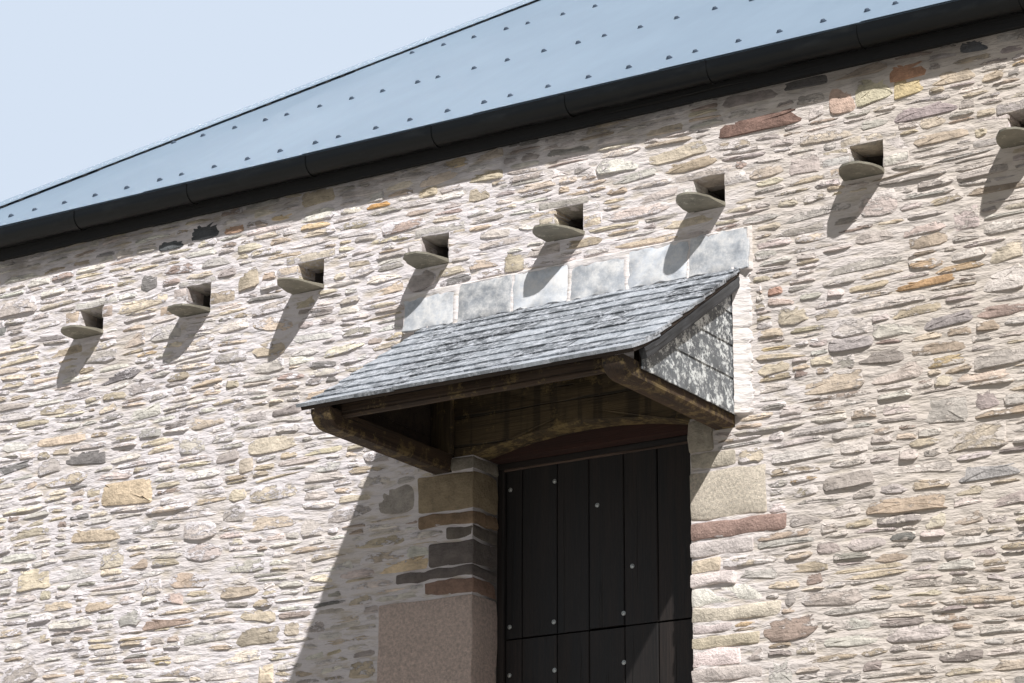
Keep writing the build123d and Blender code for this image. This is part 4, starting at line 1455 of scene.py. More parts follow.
@dataclass
class HoodSection:
    """The hood's section: straight from the wall, then an arc that flattens to the eave."""

    pitch: float = math.radians(33.4)
    bell_run: float = 0.236
    steps: int = 12
    table: tuple[Array, ...] = field(init=False)
    length: float = field(init=False)

    def __post_init__(self) -> None:
        """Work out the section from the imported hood's box."""
        low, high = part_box("hood_roof")
        reach = FRONT_Y - low.y
        straight = reach - self.bell_run
        break_z = high.z - straight * math.tan(self.pitch)
        fall = break_z - (high.z - reach * math.tan(self.pitch) + 0.022)
        turn = 2 * (self.pitch - math.atan2(fall, self.bell_run))
        start = straight / math.cos(self.pitch)
        arc = math.hypot(self.bell_run, fall) * (turn / 2) / math.sin(turn / 2)
        part = np.arange(1, self.steps + 1) / self.steps
        half = self.pitch - turn * part / 2
        length = 2 * (arc / turn) * np.sin(turn * part / 2)
        self.table = (
            np.array([0.0, start, *(start + arc * part)]),
            np.array([0.0, straight, *(straight + length * np.cos(half))]),
            np.array([high.z, break_z, *(break_z - length * np.sin(half))]),
            np.array([self.pitch, self.pitch, *(self.pitch - turn * part)]),
        )
        self.length = self.table[0][-1]

    def place(self, u: Array, s: Array, w: Array) -> Array:
        """Turn distances along the wall, down the slope and out of it into places in space."""
        distance, out, height, angle = self.table
        a, above = np.interp(s, distance, angle), np.minimum(s, 0)
        o = np.interp(s, distance, out) + w * np.sin(a) + above * np.cos(a)
        z = np.interp(s, distance, height) + w * np.cos(a) - above * np.sin(a)
        return np.column_stack([u + 0 * o, FRONT_Y - o, z])


@dataclass
class Hood:
    """The slate hood over the upper door, from its brackets up to its flashing."""

    half_width: float = 0.797
    exposure: float = 0.112
    slate: Slate = Slate("hood_slate", bloom=paint(194, 197, 203), cover=0.47, scale=60.0, soft=0.18)
    cheek_slate: Slate = Slate(
        "cheek_slate", bloom=paint(224, 226, 224), cover=0.43, scale=60.0, soft=0.14
    )
    flashing_slate: Slate = Slate(
        "flashing_slate", bloom=paint(230, 227, 223), cover=0.55, scale=22.0, soft=0.5
    )
    board: Timber = Timber("soffit_boards", paint(28, 22, 18), paint(60, 49, 41))
    # A real board under each verge, stained dark grey as painted shade for the shadow under the verge's
    # overhang
    verge: Timber = Timber("verge_wood_painted_shade", paint(42, 42, 43), paint(76, 76, 77))
    old: Timber = Timber(
        "bracket_oak", paint(30, 22, 16), paint(70, 54, 40), bloom=paint(112, 95, 64), depth=0.006, worn=0.5
    )
    lintel_oak: Timber = Timber(
        "lintel_oak", paint(46, 37, 27), paint(98, 83, 60), bloom=paint(134, 114, 76), depth=0.005, worn=0.5,
        runs=0.75,
    )
    rafter_oak: Timber = Timber(
        "hood_rafter_oak", paint(44, 34, 24), paint(84, 66, 44), cover=0.06, axis="Y"
    )
    inner_oak: Timber = Timber("inner_lintel_oak", paint(36, 20, 16), paint(60, 35, 27), axis="X")
    mortar: LimeMortar = LimeMortar(
        "fillet_mortar", colour=paint(226, 219, 217), damp=paint(206, 198, 190), lumps=11.0, inside=0.2,
        depth=0.012, buff=paint(224, 217, 213),
    )
    section: HoodSection = field(default_factory=HoodSection)

    def build(self) -> None:
        """Build every part of the hood."""
        self.slates()
        self.cheeks()
        self.brackets()
        self.beam()
        self.lintels()
        self.flashing()
        self.fillets()
        dress(self.rafter_oak, "hood_rafters")
        dress(self.inner_oak, "inner_lintels")

    def slates(self) -> None:
        """Lay the hood's courses on their boards, from the eave up."""
        rng = np.random.default_rng(71)
        heap = Heap()
        place, length = self.section.place, self.section.length
        edge, under, steps = 0.79, -0.019, 7
        for i in range(steps):
            a, b = length * i / steps + 0.001, length * (i + 1) / steps - 0.001
            b -= 0.022 * (i == steps - 1)
            corners = [(-edge, b, under), (edge, b, under), (edge, a, under), (-edge, a, under)]
            tint = paint(70, 56, 42)
            tile(heap, rng, corners, place, thickness=0.0155, cells=(12, 3), rough=0.0, tint=tint)
        heap.piece("hood_boarding", Slot.TIMBER, self.board)
        heap = Heap()
        tail = length
        lap = self.exposure * 2.25
        while tail > 0.05:
            x = -self.half_width + rng.uniform(-0.003, 0.0)
            first, eave = True, tail == length
            while x < self.half_width - 0.01:
                width = rng.uniform(0.09, 0.22) * (0.6 if first else 1.0)
                first = False
                if self.half_width - x - width < 0.09:
                    width = self.half_width - x
                head = max(tail - lap, 0.0)
                lift = rng.uniform(-0.0035, 0.0)
                drop = min(tail + rng.uniform(-0.007, 0.004), length)
                thickness = rng.uniform(0.013, 0.016) if eave else rng.uniform(0.006, 0.010)
                top = lift * 0.4 - 0.016 * (tail - head) / lap
                # Each slate's tone is drawn at random; the eave course is 1.3 times lighter, a painted
                # highlight for the light along the eave
                shade = rng.choice([0.45, 0.75, 1.0, 1.25, 1.6]) * (1.3 if eave else 1.0)
                skew, sag = rng.uniform(-0.008, 0.0), rng.uniform(-0.0015, 0)
                corners = [
                    (x + 0.002, drop, lift), (x + width - 0.002, drop + skew, lift + sag),
                    (x + width - 0.0015, head, top), (x + 0.0015, head, top),
                ]
                tint = np.array(paint(120, 124, 129)) * shade
                tile(heap, rng, corners, place, thickness, cells=(5, 5), rough=0.0028, tint=tint)
                x += width
            tail -= self.exposure * rng.uniform(0.93, 1.07)
        heap.piece("hood_slates", Slot.SLATE, self.slate, ("hood_roof",))

    def cheeks(self) -> None:
        """Board each cheek, and hang courses of large slates on the boards."""
        rng = np.random.default_rng(79)
        boards, heap = Heap(), Heap()
        low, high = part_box("hood_cheeks")
        reach = FRONT_Y - low.y
        _, out, height, angle = self.section.table
        under_out, under_z = out - 0.036 * np.sin(angle), height - 0.036 * np.cos(angle)

        def panel(start: float, end: float, foot: float, top: float) -> Array | None:
            """Outline a board or slate that stops under the hood's slope and inside the cheek."""
            start = max(start, 0.001)
            end = min(end, reach, float(np.interp(-foot - 0.012, -under_z, under_out)))
            if end - start < 0.02:
                return None
            across = np.linspace(start, end, int((end - start) / 0.035) + 2)
            crown = np.minimum(top, np.interp(across, under_out, under_z))
            outline = np.column_stack([across, 0 * across + foot]), np.column_stack([across, crown])[::-1]
            return np.vstack(outline)

        levels = low.z + np.array((-0.002, 0.150, 0.290, 0.430, 0.61))
        for side in (-1, 1):

            def place(u: Array, v: Array, w: Array) -> Array:
                """Turn distances out of the wall, up and outwards into places in space."""
                return np.column_stack([side * (high.x + w), FRONT_Y - u, v])

            for level in np.arange(low.z, high.z, 0.12):
                strip = panel(0.0, reach, level, level + 0.118)
                if strip is not None:
                    plate(
                        boards, strip[::side], place, top=-0.0102, thickness=0.0045, bevel=0.001, tint=PLAIN
                    )
            for a, b in zip(levels, levels[1:]):
                x = -rng.uniform(0.0, 0.12)
                while x < reach - 0.01:
                    width = rng.uniform(0.22, 0.36)
                    outline = panel(x, x + width - 0.003, a, b + 0.02)
                    x += width
                    if outline is None:
                        continue
                    outline = outline + rng.uniform(-0.002, 0.0, outline.shape)
                    tint = np.array(paint(104, 107, 110)) * rng.uniform(0.65, 1.25)

                    def hung(u: Array, v: Array, w: Array) -> Array:
                        """Hang the slate from its head, so that its tail laps the one below."""
                        return place(u, v, w - np.clip((v - a) / (b - a), 0, 1.2) * 0.0052)

                    plate(
                        heap, outline[::side], hung, top=-0.0004, thickness=0.0045, bevel=0.0012, tint=tint
                    )
        boards.piece("cheek_boards", Slot.TIMBER, self.board)
        self.verges(rng)
        heap.piece("cheek_slates", Slot.SLATE, self.cheek_slate, ("hood_cheeks",))

    def verges(self, rng: Rng) -> None:
        """Run a board under each verge, down the hood's slope from the wall to the eave; its dark grey is
        painted shade for the shadow under the overhang.
        """
        heap = Heap()
        distance = np.linspace(0.012, self.section.length - 0.11, 26)
        for side in (-1, 1):
            path = self.section.place(0 * distance + side * 0.7765, distance, 0 * distance - 0.060)
            timber(heap, rng, path, (side, 0, 0), (0.026, 0.044), chamfer=0.003, worn=0.0015)
        heap.piece("verge_boards", Slot.TIMBER, self.verge)

    def brackets(self) -> None:
        """Shape the two cantilevered brackets with their rounded noses, in level rings out of the wall."""
        rng = np.random.default_rng(83)
        heap = Heap()
        low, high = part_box("hood_brackets")
        nose, half = 0.066, 0.0495
        start = FRONT_Y - low.y - nose
        bowed = start + nose * np.sin(np.linspace(0.2, 1.5, 8))
        outs = np.append(np.linspace(FRONT_Y - high.y, start, 12), bowed)
        bend = nose**2 - np.clip(outs - start, 0, nose) ** 2
        rise = np.where(outs > start, nose - np.sqrt(np.maximum(bend, 0)), 0)
        heights = high.z - low.z - rise
        for side in (-1, 1):
            middle = side * sum(BRACKET_SIDES) / 2
            centres = np.column_stack([0 * outs + middle, FRONT_Y - outs, low.z + rise + heights / 2])
            centres[:, 0] += rng.uniform(-0.001, 0.001, len(outs))
            shift = rng.uniform(0, 40, 3)
            rings, grain = [], []
            for centre, height in zip(centres, heights / 2):
                corners = section(half, height, min(0.012, height * 0.8), 0.002)
                corners[:, 0] += rng.uniform(-0.0015, 0.0, 8) * np.sign(corners[:, 0])
                rings.append(centre + np.insert(corners, 1, 0, axis=1))
                grain.append(np.column_stack([np.full(8, -centre[1]), corners]) + shift)
            marks = np.tile((0.6, 0.6, 0.9, 0.0, 0.0, 0.0, 0.0, 0.9), len(rings))
            tube(heap, rings, PLAIN, marks, np.vstack(grain))
        heap.piece("bracket_timbers", Slot.TIMBER, self.old, ("hood_brackets",))

    def beam(self) -> None:
        """Set the front beam between the brackets, with a bead along its lower edge."""
        rng = np.random.default_rng(89)
        heap = Heap()
        low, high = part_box("hood_front_beam")
        body = ((low.y + high.y) / 2, (low.z + high.z) / 2 + 0.008)
        body_size = (high.y - low.y, high.z - low.z - 0.016)
        bead = (low.y + 0.02, low.z + 0.011)
        for middle, size, worn in ((body, body_size, 0.0015), (bead, (0.036, 0.021), 0.0012)):
            ends = (low.x, *middle), (high.x, *middle)
            straight_timber(heap, rng, *ends, (0, 1, 0), size, chamfer=0.008, worn=worn)
        heap.piece("front_beam_timber", Slot.TIMBER, self.old, ("hood_front_beam",))

    def lintels(self) -> None:
        """Shape the front lintel with its cambered soffit, and the posts over the brackets."""
        heap = Heap()
        low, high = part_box("arched_lintel")
        across = np.linspace(-DOOR_HALF, DOOR_HALF, 41)
        arch = low.z + 0.065 * (1 - (across / DOOR_HALF) ** 2)
        upper = [(x, high.z) for x in np.linspace(high.x, low.x, 30)]
        outline = np.array([(low.x, low.z), *zip(across, arch), (high.x, low.z), *upper])

        def place(u: Array, v: Array, w: Array) -> Array:
            """Stand the lintel in the wall's face, with faintly uneven adze work."""
            hollow = 0.0018 * np.sin(u * 37 + v * 11) * (w > -0.05)
            return np.column_stack([u, FRONT_Y - w + hollow, v])

        depth = high.y - low.y - 0.002
        plate(heap, outline, place, top=-0.002, thickness=depth, bevel=0.014, tint=PLAIN)
        rng = np.random.default_rng(95)
        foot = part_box("hood_brackets")[1].z
        for side in (-1, 1):
            at = (side * (high.x + 0.044), FRONT_Y - 0.012)
            straight_timber(heap, rng, (*at, foot), (*at, high.z + 0.2), (1, 0, 0), (0.108, 0.03))
        heap.piece("lintel_timber", Slot.TIMBER, self.lintel_oak, ("arched_lintel",))

    def flashing(self) -> None:
        """Bed six large slates over the head of the hood, and lap rough mortar over their rims."""
        rng = np.random.default_rng(97)
        low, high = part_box("hood_flashing")
        pitch = (high.x - low.x) / 6
        slates = []
        for k in range(6):
            start, end = low.x + k * pitch + rng.uniform(0.003, 0.010), low.x + (k + 1) * pitch
            slates.append((
                start, end - rng.uniform(0.003, 0.010), low.z - 0.030 + rng.uniform(0.002, 0.008),
                high.z - rng.uniform(0.012, 0.040),
            ))
        heap = Heap()
        for (a, b, foot, top), tone in zip(slates, (0.85, 0.5, 1.1, 0.75, 1.0, 0.7)):
            outline = ragged([(a, foot), (b, foot), (b, top), (a, top)], 0.03, 0.007, rng)

            def place(u: Array, v: Array, w: Array) -> Array:
                """Lean the slate, so that its foot stands out over the hood."""
                return FRONT.place(u, v, np.minimum(w + (high.z - v) / (high.z - low.z) * 0.012, 0.034))

            tint = np.array(paint(190, 195, 202)) * tone
            plate(heap, outline, place, top=0.018, thickness=0.012, bevel=0.004, tint=tint)
        heap.piece("flashing_slates", Slot.SLATE, self.flashing_slate, ("hood_flashing",))
        bed = Heap()
        u, v = np.meshgrid(np.linspace(low.x, high.x, 150), np.linspace(low.z - 0.032, high.z, 15))
        away = np.full(u.shape, 1.0)
        for a, b, _, top in slates:
            away = np.minimum(away, np.maximum(np.maximum(a - u, u - b), v - top))
        uneven = wobble(FRONT.place(u.ravel(), v.ravel(), 0 * u.ravel()), 98, 0.09)[:, 0]
        away += uneven.reshape(u.shape) * 0.014
        lap = np.clip(0.75 + away / 0.026, 0, 1)
        foot = (high.z - v) / (high.z - low.z)
        w = 0.008 + foot * 0.012 + lap * 0.0135 + rng.uniform(-0.0012, 0.0012, u.shape)
        w[-1] = w[:, 0] = w[:, -1] = -0.004
        relief(bed, FRONT, u, v, np.minimum(w, 0.0355))
        bed.piece("flashing_mortar", Slot.MORTAR, self.mortar)

    def fillets(self) -> None:
        """Trowel a rough mortar fillet up each side of the hood."""
        rng = np.random.default_rng(103)
        heap = Heap()
        low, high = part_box("hood_mortar_fillets")
        inner, outer = 0.7625, 0.836
        for side in (-1, 1):
            s, v = np.meshgrid(np.linspace(0, 1, 9), np.linspace(low.z - 0.01, high.z + 0.06, 60))
            u = side * (inner + s * (outer - inner + rng.normal(0, 0.006, (60, 1))))
            w = 0.004 + 0.032 * (1 - s) ** 1.6 + rng.uniform(-0.0025, 0.0025, s.shape)
            w[:, -1] = w[0] = w[-1] = -0.005
            relief(heap, FRONT, *(part[:, ::side] for part in (u, v, w)))
        heap.piece("cheek_fillets", Slot.MORTAR, self.mortar, ("hood_mortar_fillets",))


def relief(heap: Heap, face: Face, u: Array, v: Array, w: Array, depth: float = 0.03) -> None:
    """Add a closed slab whose front is a grid of points.

    Args:
        heap: What it is added to.
        face: The wall's face.
        u, v, w: The grid's places along, up and out; rows go up and columns along.
        depth: How far its back lies behind the face.
    """
    fronts = [face.place(u.ravel(), v.ravel(), out) for out in (w.ravel(), np.full(u.size, -depth))]
    slab(heap, np.vstack(fronts), u.shape, LIME)


@dataclass
class UpperDoor:
    """The two ledged and boarded leaves, their frame and bolts."""

    plank_edges: tuple[float, ...] = (-0.497, -0.414, -0.237, -0.077, 0.096, 0.259, 0.427, 0.497)
    boards: Timber = Timber(
        "door_oak", paint(9, 8, 8), paint(40, 34, 31), roughness=0.7, depth=0.003, tinted=True
    )
    frame_wood: Timber = Timber("frame_oak", paint(15, 12, 11), paint(40, 33, 29), depth=0.003, tinted=True)
    bolts: tuple[tuple[float, float], ...] = (
        (-0.475, 4.559), (-0.248, 4.568), (-0.475, 3.951), (-0.252, 3.950), (-0.475, 3.741), (-0.248, 3.742),
        (-0.034, 4.434), (0.136, 4.148), (0.092, 3.951), (0.44, 3.950), (0.44, 4.562),
        (-0.475, 3.120), (-0.248, 3.124), (0.085, 3.121), (0.44, 3.120), (0.092, 3.742), (0.44, 3.741),
    )

    def build(self) -> None:
        """Build the leaves, the frame and the bolts."""
        rng = np.random.default_rng(109)
        thick, ledge, inset = 0.026, 0.12, 0.06
        for node in ("door_leaf_lower", "door_leaf_upper"):
            low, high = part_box(node)
            heap = Heap()
            for left, right in zip(self.plank_edges, self.plank_edges[1:]):
                at = ((left + right) / 2, low.y + thick / 2 + rng.uniform(0.0005, 0.003))
                tint = np.array((1.0, 0.94, 0.89)) * rng.uniform(0.55, 1.45)
                foot, head = low.z + rng.uniform(0, 0.003), high.z - rng.uniform(0, 0.002)
                size = (right - left - rng.uniform(0.0025, 0.005), thick - 0.003)
                shape = {"tint": tint, "chamfer": 0.0035, "worn": 0.0006}
                straight_timber(heap, rng, (*at, foot), (*at, head), (1, 0, 0), size, **shape)
            for z in (low.z + inset + ledge / 2, high.z - inset - ledge / 2):
                y = low.y + thick + 0.012
                ends = (low.x + 0.02, y, z), (high.x - 0.02, y, z)
                straight_timber(heap, rng, *ends, (0, 1, 0), (0.024, ledge))
            heap.piece(node.replace("door_leaf", "leaf_boards"), Slot.BOARDS, self.boards, (node,))
        self.frame_pieces(rng)
        self.bolt_heads()

    def frame_pieces(self, rng: Rng) -> None:
        """Join the frame from two jambs and a head, each with its stop."""
        heap = Heap()
        low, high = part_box("door_frame")
        middle, depth = (low.y + high.y) / 2, high.y - low.y
        jamb, head = 0.035, 0.030
        under = high.z - head
        for side in (-1, 1):
            for inset, y, size in (
                (jamb / 2, middle, (jamb - 0.001, depth)), (jamb + 0.0075, high.y - 0.018, (0.015, 0.034))
            ):
                x = side * (high.x - inset)
                straight_timber(heap, rng, (x, y, low.z), (x, y, under), (1, 0, 0), size)
        z = high.z - head / 2
        straight_timber(heap, rng, (low.x, middle, z), (high.x, middle, z), (0, 1, 0), (depth, head - 0.001))
        bead = (low.y + 0.004, under - 0.004)
        ends = (low.x + jamb, *bead), (high.x - jamb, *bead)
        straight_timber(heap, rng, *ends, (0, 1, 0), (0.010, 0.010), tint=(7, 6.5, 6), chamfer=0.002)
        heap.piece("frame_timbers", Slot.TIMBER, self.frame_wood, ("door_frame",))

    def bolt_heads(self) -> None:
        """Set domed coach-bolt heads where the ledges are fixed."""
        heap = Heap()
        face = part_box("door_leaf_lower")[0].y
        for x, z in self.bolts:

            def place(u: Array, v: Array, w: Array) -> Array:
                """Set the bolt's head on the boards."""
                return np.column_stack([x + u, face + 0.002 - w, z + v])

            dome(heap, place, radius=0.0075, height=0.0045, grey=0.6, sides=10)
        heap.piece("door_bolts", Slot.GUTTER, Zinc("bolt_zinc"))


def dome(heap: Heap, place: Place, radius: float, height: float, grey: float, sides: int) -> None:
    """Add a domed head with a flat washer.

    Args:
        heap: What it is added to.
        place: Turns (along, up, out) into places in space.
        radius: The dome's radius.
        height: The dome's height.
        grey: Its tone.
        sides: How many sides it has.
    """
    rings = [(1.35, -0.3), (1.35, 0.14), (1.0, 0.16), (0.92, 0.6), (0.6, 0.92)]
    a = np.arange(sides)
    turn = a / sides * math.tau
    us = np.concatenate([*(radius * r * np.cos(turn) for r, _ in rings), [0.0]])
    vs = np.concatenate([*(radius * r * np.sin(turn) for r, _ in rings), [0.0]])
    ws = np.concatenate([*(np.full(sides, height * h) for _, h in rings), [height]])
    last = (len(rings) - 1) * sides
    faces = [ring_faces(k * sides, (k + 1) * sides, sides) for k in range(len(rings) - 1)]
    faces += [np.column_stack([last + a, last + (a + 1) % sides, np.full(sides, last + sides)]), a[::-1]]
    heap.add(place(us, vs, ws), faces, (grey,) * 3)


@dataclass
class MainRoof:
    """The hipped roof of flat lapped sheets, with its fixings and caps."""

    cover: float = 0.97
    sheet: RoofSheet = RoofSheet("roof_paint")
    cap: RoofSheet = RoofSheet("cap_paint", paint(134, 150, 166), paint(146, 161, 176))
    # The fixing caps are darker than the sheets: partly their own paint, partly painted shade for the shadow
    # each cap casts
    fixing: RoofSheet = RoofSheet("fixing_paint_with_shade", paint(62, 73, 87), paint(78, 90, 105))
    foam: BlackPlastic = BlackPlastic("closure_foam", paint(14, 15, 17), paint(26, 27, 29))
    rows: tuple[float, ...] = (0.21, 1.23, 2.27, 3.33)
    pitch: float = math.radians(36)
    wing: float = 0.125
    lift: float = 0.019
    cap_thickness: float = 0.007
    fixings: Heap = field(default_factory=Heap)
    rng: Rng = field(default_factory=lambda: np.random.default_rng(131))
    eave_x: float = field(init=False)
    eave_z: float = field(init=False)
    ridge_z: float = field(init=False)
    run: float = field(init=False)
    slope: float = field(init=False)

    def build(self) -> None:
        """Lay each slope, then its caps."""
        low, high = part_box("front_roof_slope")
        self.eave_x, self.run, self.ridge_z = high.x, high.y - low.y, high.z
        self.eave_z = self.ridge_z - self.run * math.tan(self.pitch)
        self.slope = self.run / math.cos(self.pitch)
        for name, centre, along, inward, half in (
            ("front", (0.0, CENTRE_Y - self.run), (1, 0), (0, 1), self.eave_x),
            ("rear", (0.0, CENTRE_Y + self.run), (-1, 0), (0, -1), self.eave_x),
            ("left", (-self.eave_x, CENTRE_Y), (0, -1), (1, 0), self.run),
            ("right", (self.eave_x, CENTRE_Y), (0, 1), (-1, 0), self.run),
        ):
            self.lay_slope(name, centre, along, inward, half)
        self.fixings.piece("roof_fixings", Slot.SHEET, self.fixing)
        self.caps()

    def lay_slope(self, name: str, centre: tuple, along: tuple, inward: tuple, half: float) -> None:
        """Lay one slope's deck, sheets and fixings.

        Args:
            name: The slope's name.
            centre: The middle of its eave, seen from above.
            along: The eave's direction.
            inward: The direction towards the ridge.
            half: Half the eave's length.
        """
        cosine, sine = math.cos(self.pitch), math.sin(self.pitch)

        def place(u: Array, v: Array, w: Array) -> Array:
            """Turn distances along the eave, up the slope and out of it into places in space."""
            plan = v * cosine - w * sine
            x, y = (centre[k] + u * along[k] + plan * inward[k] for k in range(2))
            return np.column_stack([x, y, self.eave_z + v * sine + w * cosine])

        heap = Heap()
        crest = half - self.run
        deck = np.array([(-half, 0), (half, 0), (crest, self.slope), (-crest, self.slope)], float)
        if half <= self.run + 1e-6:
            deck = deck[:3]
        deck *= (0.9995, 1.0)
        plate(heap, deck, place, top=-0.006, thickness=0.024, bevel=0.0005, tint=(0.4, 0.4, 0.4))
        count = math.ceil(2 * half / self.cover)
        width = 2 * half / count
        for i in range(count):
            a = -half + i * width
            b = a + width
            strip = np.array([(a - 0.02, 0.0), (b, 0.0), (b, self.slope), (a - 0.02, self.slope)])
            for side in (-1, 1):
                strip = clip(strip, (side * half, 0), (side * self.slope, self.run))

            def lapped(u: Array, v: Array, w: Array) -> Array:
                """Tip the sheet slightly, so that one edge laps its neighbour."""
                return place(u, v, w + (a + width / 2 - u) / width * 0.0025)

            if len(strip) > 2:
                plate(heap, strip, lapped, top=-0.0015, thickness=0.003, bevel=0.001, tint=(0.5, 0.5, 0.5))
        replaced = (f"{name}_roof_slope",)
        heap.piece(f"{name}_roof_sheets", Slot.SHEET, self.sheet, replaced, SHEET_CREASE)
        starts = -half + np.arange(count)[:, None] * width
        spots = (starts + 0.07 + np.linspace(0, width - 0.14, 5)).ravel()
        for row in self.rows:
            for u in spots + self.rng.uniform(-0.008, 0.008, len(spots)):
                if abs(u) > half - row * cosine - 0.09:
                    continue
                v = row + self.rng.uniform(-0.006, 0.006)

                def fixed(du: Array, dv: Array, dw: Array) -> Array:
                    """Set a fixing's head on the sheet."""
                    return place(u + du, v + dv, dw)

                dome(self.fixings, fixed, radius=0.0115, height=0.011, grey=0.4, sides=8)

    def caps(self) -> None:
        """Fold the caps over the ridge and hips, on toothed closures."""
        heap, teeth = Heap(), Heap()
        ridge = self.eave_x - self.run
        ends = [((-ridge, CENTRE_Y, self.ridge_z), (ridge, CENTRE_Y, self.ridge_z))]
        for x in (-1, 1):
            for y in (-1, 1):
                foot = (x * self.eave_x, CENTRE_Y + y * self.run, self.eave_z)
                ends.append((foot, (x * ridge, CENTRE_Y, self.ridge_z)))
        for start, end in ends:
            a, b = np.array(start), np.array(end)
            length = np.linalg.norm(b - a)
            run = (b - a) / length
            side = np.cross(run, (0, 0, 1))
            side /= np.linalg.norm(side)
            up = np.cross(side, run)
            hip = start[2] < end[2]
            drop = self.hip_fall(run, side, up) if hip else math.tan(self.pitch)
            first, last = (0.10, length - 0.02) if hip else (0.0, length)
            profile = [(u * self.wing, -abs(u) * self.wing * drop + self.lift) for u in (-1, -0.08, 0.08, 1)]
            loop = np.array(profile + [(u, v - self.cap_thickness) for u, v in profile[::-1]])
            centres = [a + run * distance for distance in np.linspace(first, last, 24)]
            rings = [centre + loop[:, :1] * side + loop[:, 1:] * up for centre in centres]
            tube(heap, rings, (0.5, 0.5, 0.5), turned=True)
            if hip:
                self.closure(teeth, a, run, side, up, drop, last - first - 0.2)
        heap.piece("roof_caps", Slot.SHEET, self.cap, ("hip_caps", "ridge_cap"), crease=SHEET_CREASE)
        teeth.piece("cap_closures", Slot.GUTTER, self.foam)

    def hip_fall(self, run: Array, side: Array, up: Array) -> float:
        """Work out how steeply the slopes fall away to each side of a hip, square to its line."""
        normal = np.array((-math.copysign(math.sin(self.pitch), run[0]), 0.0, math.cos(self.pitch)))
        return abs(float(normal @ side) / float(normal @ up))

    def closure(
        self, heap: Heap, a: Array, run: Array, side: Array, up: Array, drop: float, length: float
    ) -> None:
        """Set the closure strip's teeth under both wings of a hip cap.

        Args:
            heap: What they are added to.
            a: The hip's foot.
            run, side, up: The directions along the hip, across it and out of it.
            drop: How steeply the slopes fall away to each side.
            length: The length that the teeth fill.
        """
        pitch, inner = 0.09, self.wing - 0.014
        for k in range(int(length / pitch)):
            if k % 11 == 10:
                continue
            base = a + run * (0.10 + 0.03 + k * pitch)
            for turn in (-1, 1):
                corners = []
                for along, out, rise in product((0.0, 0.03), (0.0, 0.012), (-0.002, self.lift - 0.003)):
                    height = -inner * drop - 0.001 - out * drop + rise
                    corners.append(base + run * along + side * (turn * inner + turn * out) + up * height)
                faces = [(0, 1, 3, 2), (4, 6, 7, 5), (0, 4, 5, 1), (2, 3, 7, 6), (0, 2, 6, 4), (1, 5, 7, 3)]
                heap.add(np.array(corners), faces, (0.1, 0.1, 0.1))


@dataclass
class Eaves:
    """The gutters with their straps, the fascias and what shows of the roof's timbers."""

    plastic: BlackPlastic = BlackPlastic("gutter_black")
    stained: Timber = Timber("fascia_stain", paint(11, 10, 10), paint(20, 19, 18), axis="X")
    pine: Timber = Timber("roof_pine", paint(120, 92, 60), paint(176, 146, 104), axis="Y")

    def build(self) -> None:
        """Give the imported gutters, straps, fascias and timbers their finishes."""
        dress(self.plastic, "gutters", "gutter_brackets")
        dress(self.stained, "fascias")
        dress(self.pine, "rafters", "purlins", "wall_plates")


@dataclass
class Floor:
    """The upper floor and the ground doorway's lintels."""

    pine: Timber = Timber("floor_pine", paint(112, 84, 54), paint(160, 128, 88), axis="X")
    joist: Timber = Timber("joist_oak", paint(70, 54, 38), paint(116, 94, 66), cover=0.02, axis="Y")
    doorway: Timber = Timber("doorway_oak", paint(62, 50, 36), paint(120, 102, 76), cover=0.12, axis="X")

    def build(self) -> None:
        """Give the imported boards, joists and lintels their finishes."""
        dress(self.pine, "floor_boards")
        dress(self.joist, "floor_joists")
        dress(self.doorway, "doorway_lintels")


@dataclass(frozen=True)
class PaleFloor(Finish):
    """The studio floor: plain and pale to the eye, but throwing little light back up."""

    def coat(self, bench: Bench) -> Coat:
        """Wire a faint unevenness of tone, and the dimmer colour for light that bounces."""
        tone = bench.noise(bench.place(), 0.3, 2.0)
        pale = bench.mix(bench.times(tone, 0.15), paint(205, 204, 200), paint(190, 189, 186))
        colour = bench.mix(bench.direct(), paint(122, 121, 118), pale)
        return Coat(colour, roughness=0.9, height=tone, depth=0.001, sheen=0.2)


@dataclass(frozen=True)
class Sun:
    """A far light: the way its light travels, its strength, and its softness in degrees."""

    name: str
    travel: tuple[float, float, float]
    strength: float
    softness: float
    colour: Colour = (1.0, 0.99, 0.98)


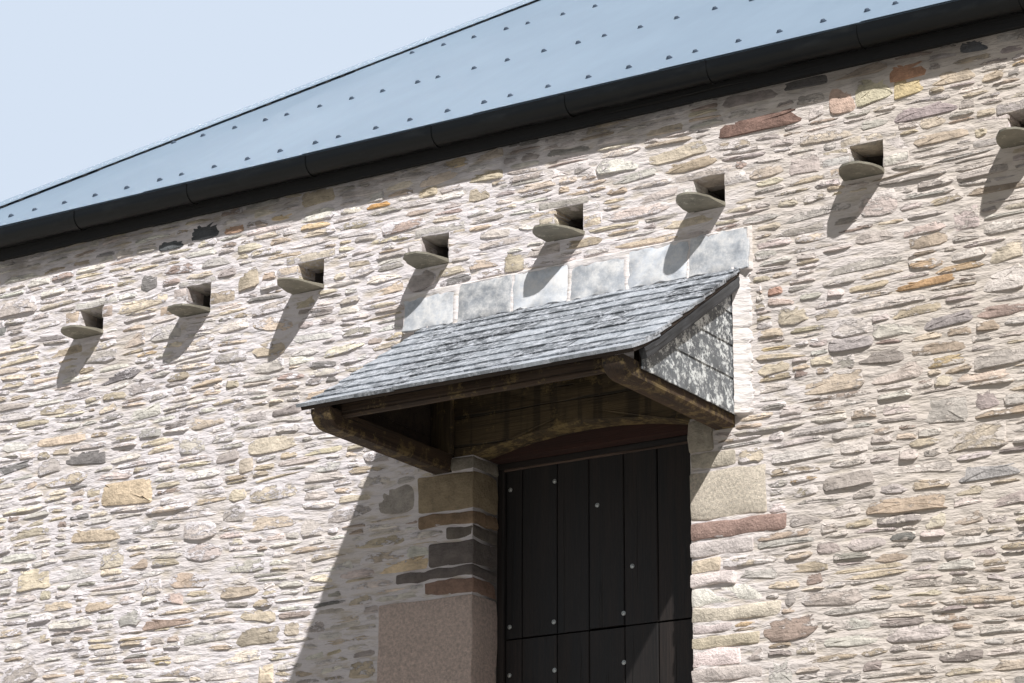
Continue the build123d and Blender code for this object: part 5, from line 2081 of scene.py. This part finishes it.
@dataclass
class Studio:
    """The floor, the lights and the camera at the photograph's view."""

    eye: tuple[float, float, float] = (5.784, FRONT_Y - 9.6, 1.6)
    right: tuple[float, float, float] = (0.84394, 0.53641, 0.00479)
    up: tuple[float, float, float] = (0.15628, -0.25439, 0.95439)
    forward: tuple[float, float, float] = (-0.51317, 0.80470, 0.29852)
    lens: float = 96.45
    suns: tuple[Sun, ...] = (
        Sun("studio_key", travel=(-0.97, 1.0, -1.45), strength=5.5, softness=0.9),
        Sun("studio_rear_fill", travel=(0.8, -1.0, -0.55), strength=2.2, softness=20.0),
    )
    sky_strength: float = 0.25
    floor_half: float = 150.0

    def build(self) -> None:
        """Set the camera, the suns, the sky and the floor."""
        scene = bpy.context.scene
        scene.view_settings.view_transform = "Standard"
        lens = bpy.data.cameras.new("photo_view")
        lens.lens, lens.sensor_width, lens.clip_end = self.lens, 36.0, 500.0
        scene.camera = self.add("photo_view", lens)
        turn = Matrix((self.right, self.up, -Vector(self.forward))).transposed()
        scene.camera.matrix_world = Matrix.Translation(self.eye) @ turn.to_4x4()
        for sun in self.suns:
            lamp = bpy.data.lights.new(sun.name, "SUN")
            lamp.energy, lamp.angle, lamp.color = sun.strength, math.radians(sun.softness), sun.colour
            self.add(sun.name, lamp).rotation_euler = Vector(sun.travel).to_track_quat("-Z", "Y").to_euler()
        self.sky()
        self.floor()

    @staticmethod
    def add(name: str, data: bpy.types.ID) -> bpy.types.Object:
        """Put a camera, lamp or mesh in the scene."""
        thing = bpy.data.objects.new(name, data)
        bpy.context.scene.collection.objects.link(thing)
        return thing

    def sky(self) -> None:
        """Light the scene evenly, and show a plain pale sky behind it."""
        world = bpy.data.worlds.new("studio_sky")
        bpy.context.scene.world = world
        world.use_nodes = True
        bench = Bench(world.node_tree)
        direct = bench.direct()
        shader = world.node_tree.nodes["Background"]
        bench.feed(shader.inputs["Color"], bench.mix(direct, (0.98, 0.99, 1.0), paint(214, 227, 244)))
        strength = bench.plus(bench.times(direct, 1.0 - self.sky_strength), self.sky_strength)
        bench.feed(shader.inputs["Strength"], strength)

    def floor(self) -> None:
        """Lay a wide pale floor."""
        mesh = bpy.data.meshes.new("studio_floor")
        half = self.floor_half
        corners = [(-half, -half, 0), (half, -half, 0), (half, half, 0), (-half, half, 0)]
        mesh.from_pydata(corners, [], [(0, 1, 2, 3)])
        mesh.materials.append(PaleFloor("floor_paint").material())
        self.add("studio_floor", mesh)


def main() -> None:
    """Build the barn's assemblies in order."""
    logging.basicConfig(level=logging.INFO, format="%(name)s: %(message)s")
    for assembly in (Studio(), Masonry(), PigeonBand(), UpperDoor(), Hood(), MainRoof(), Eaves(), Floor()):
        log.info("building %s", type(assembly).__name__)
        assembly.build()


if __name__ == "__main__":
    main()
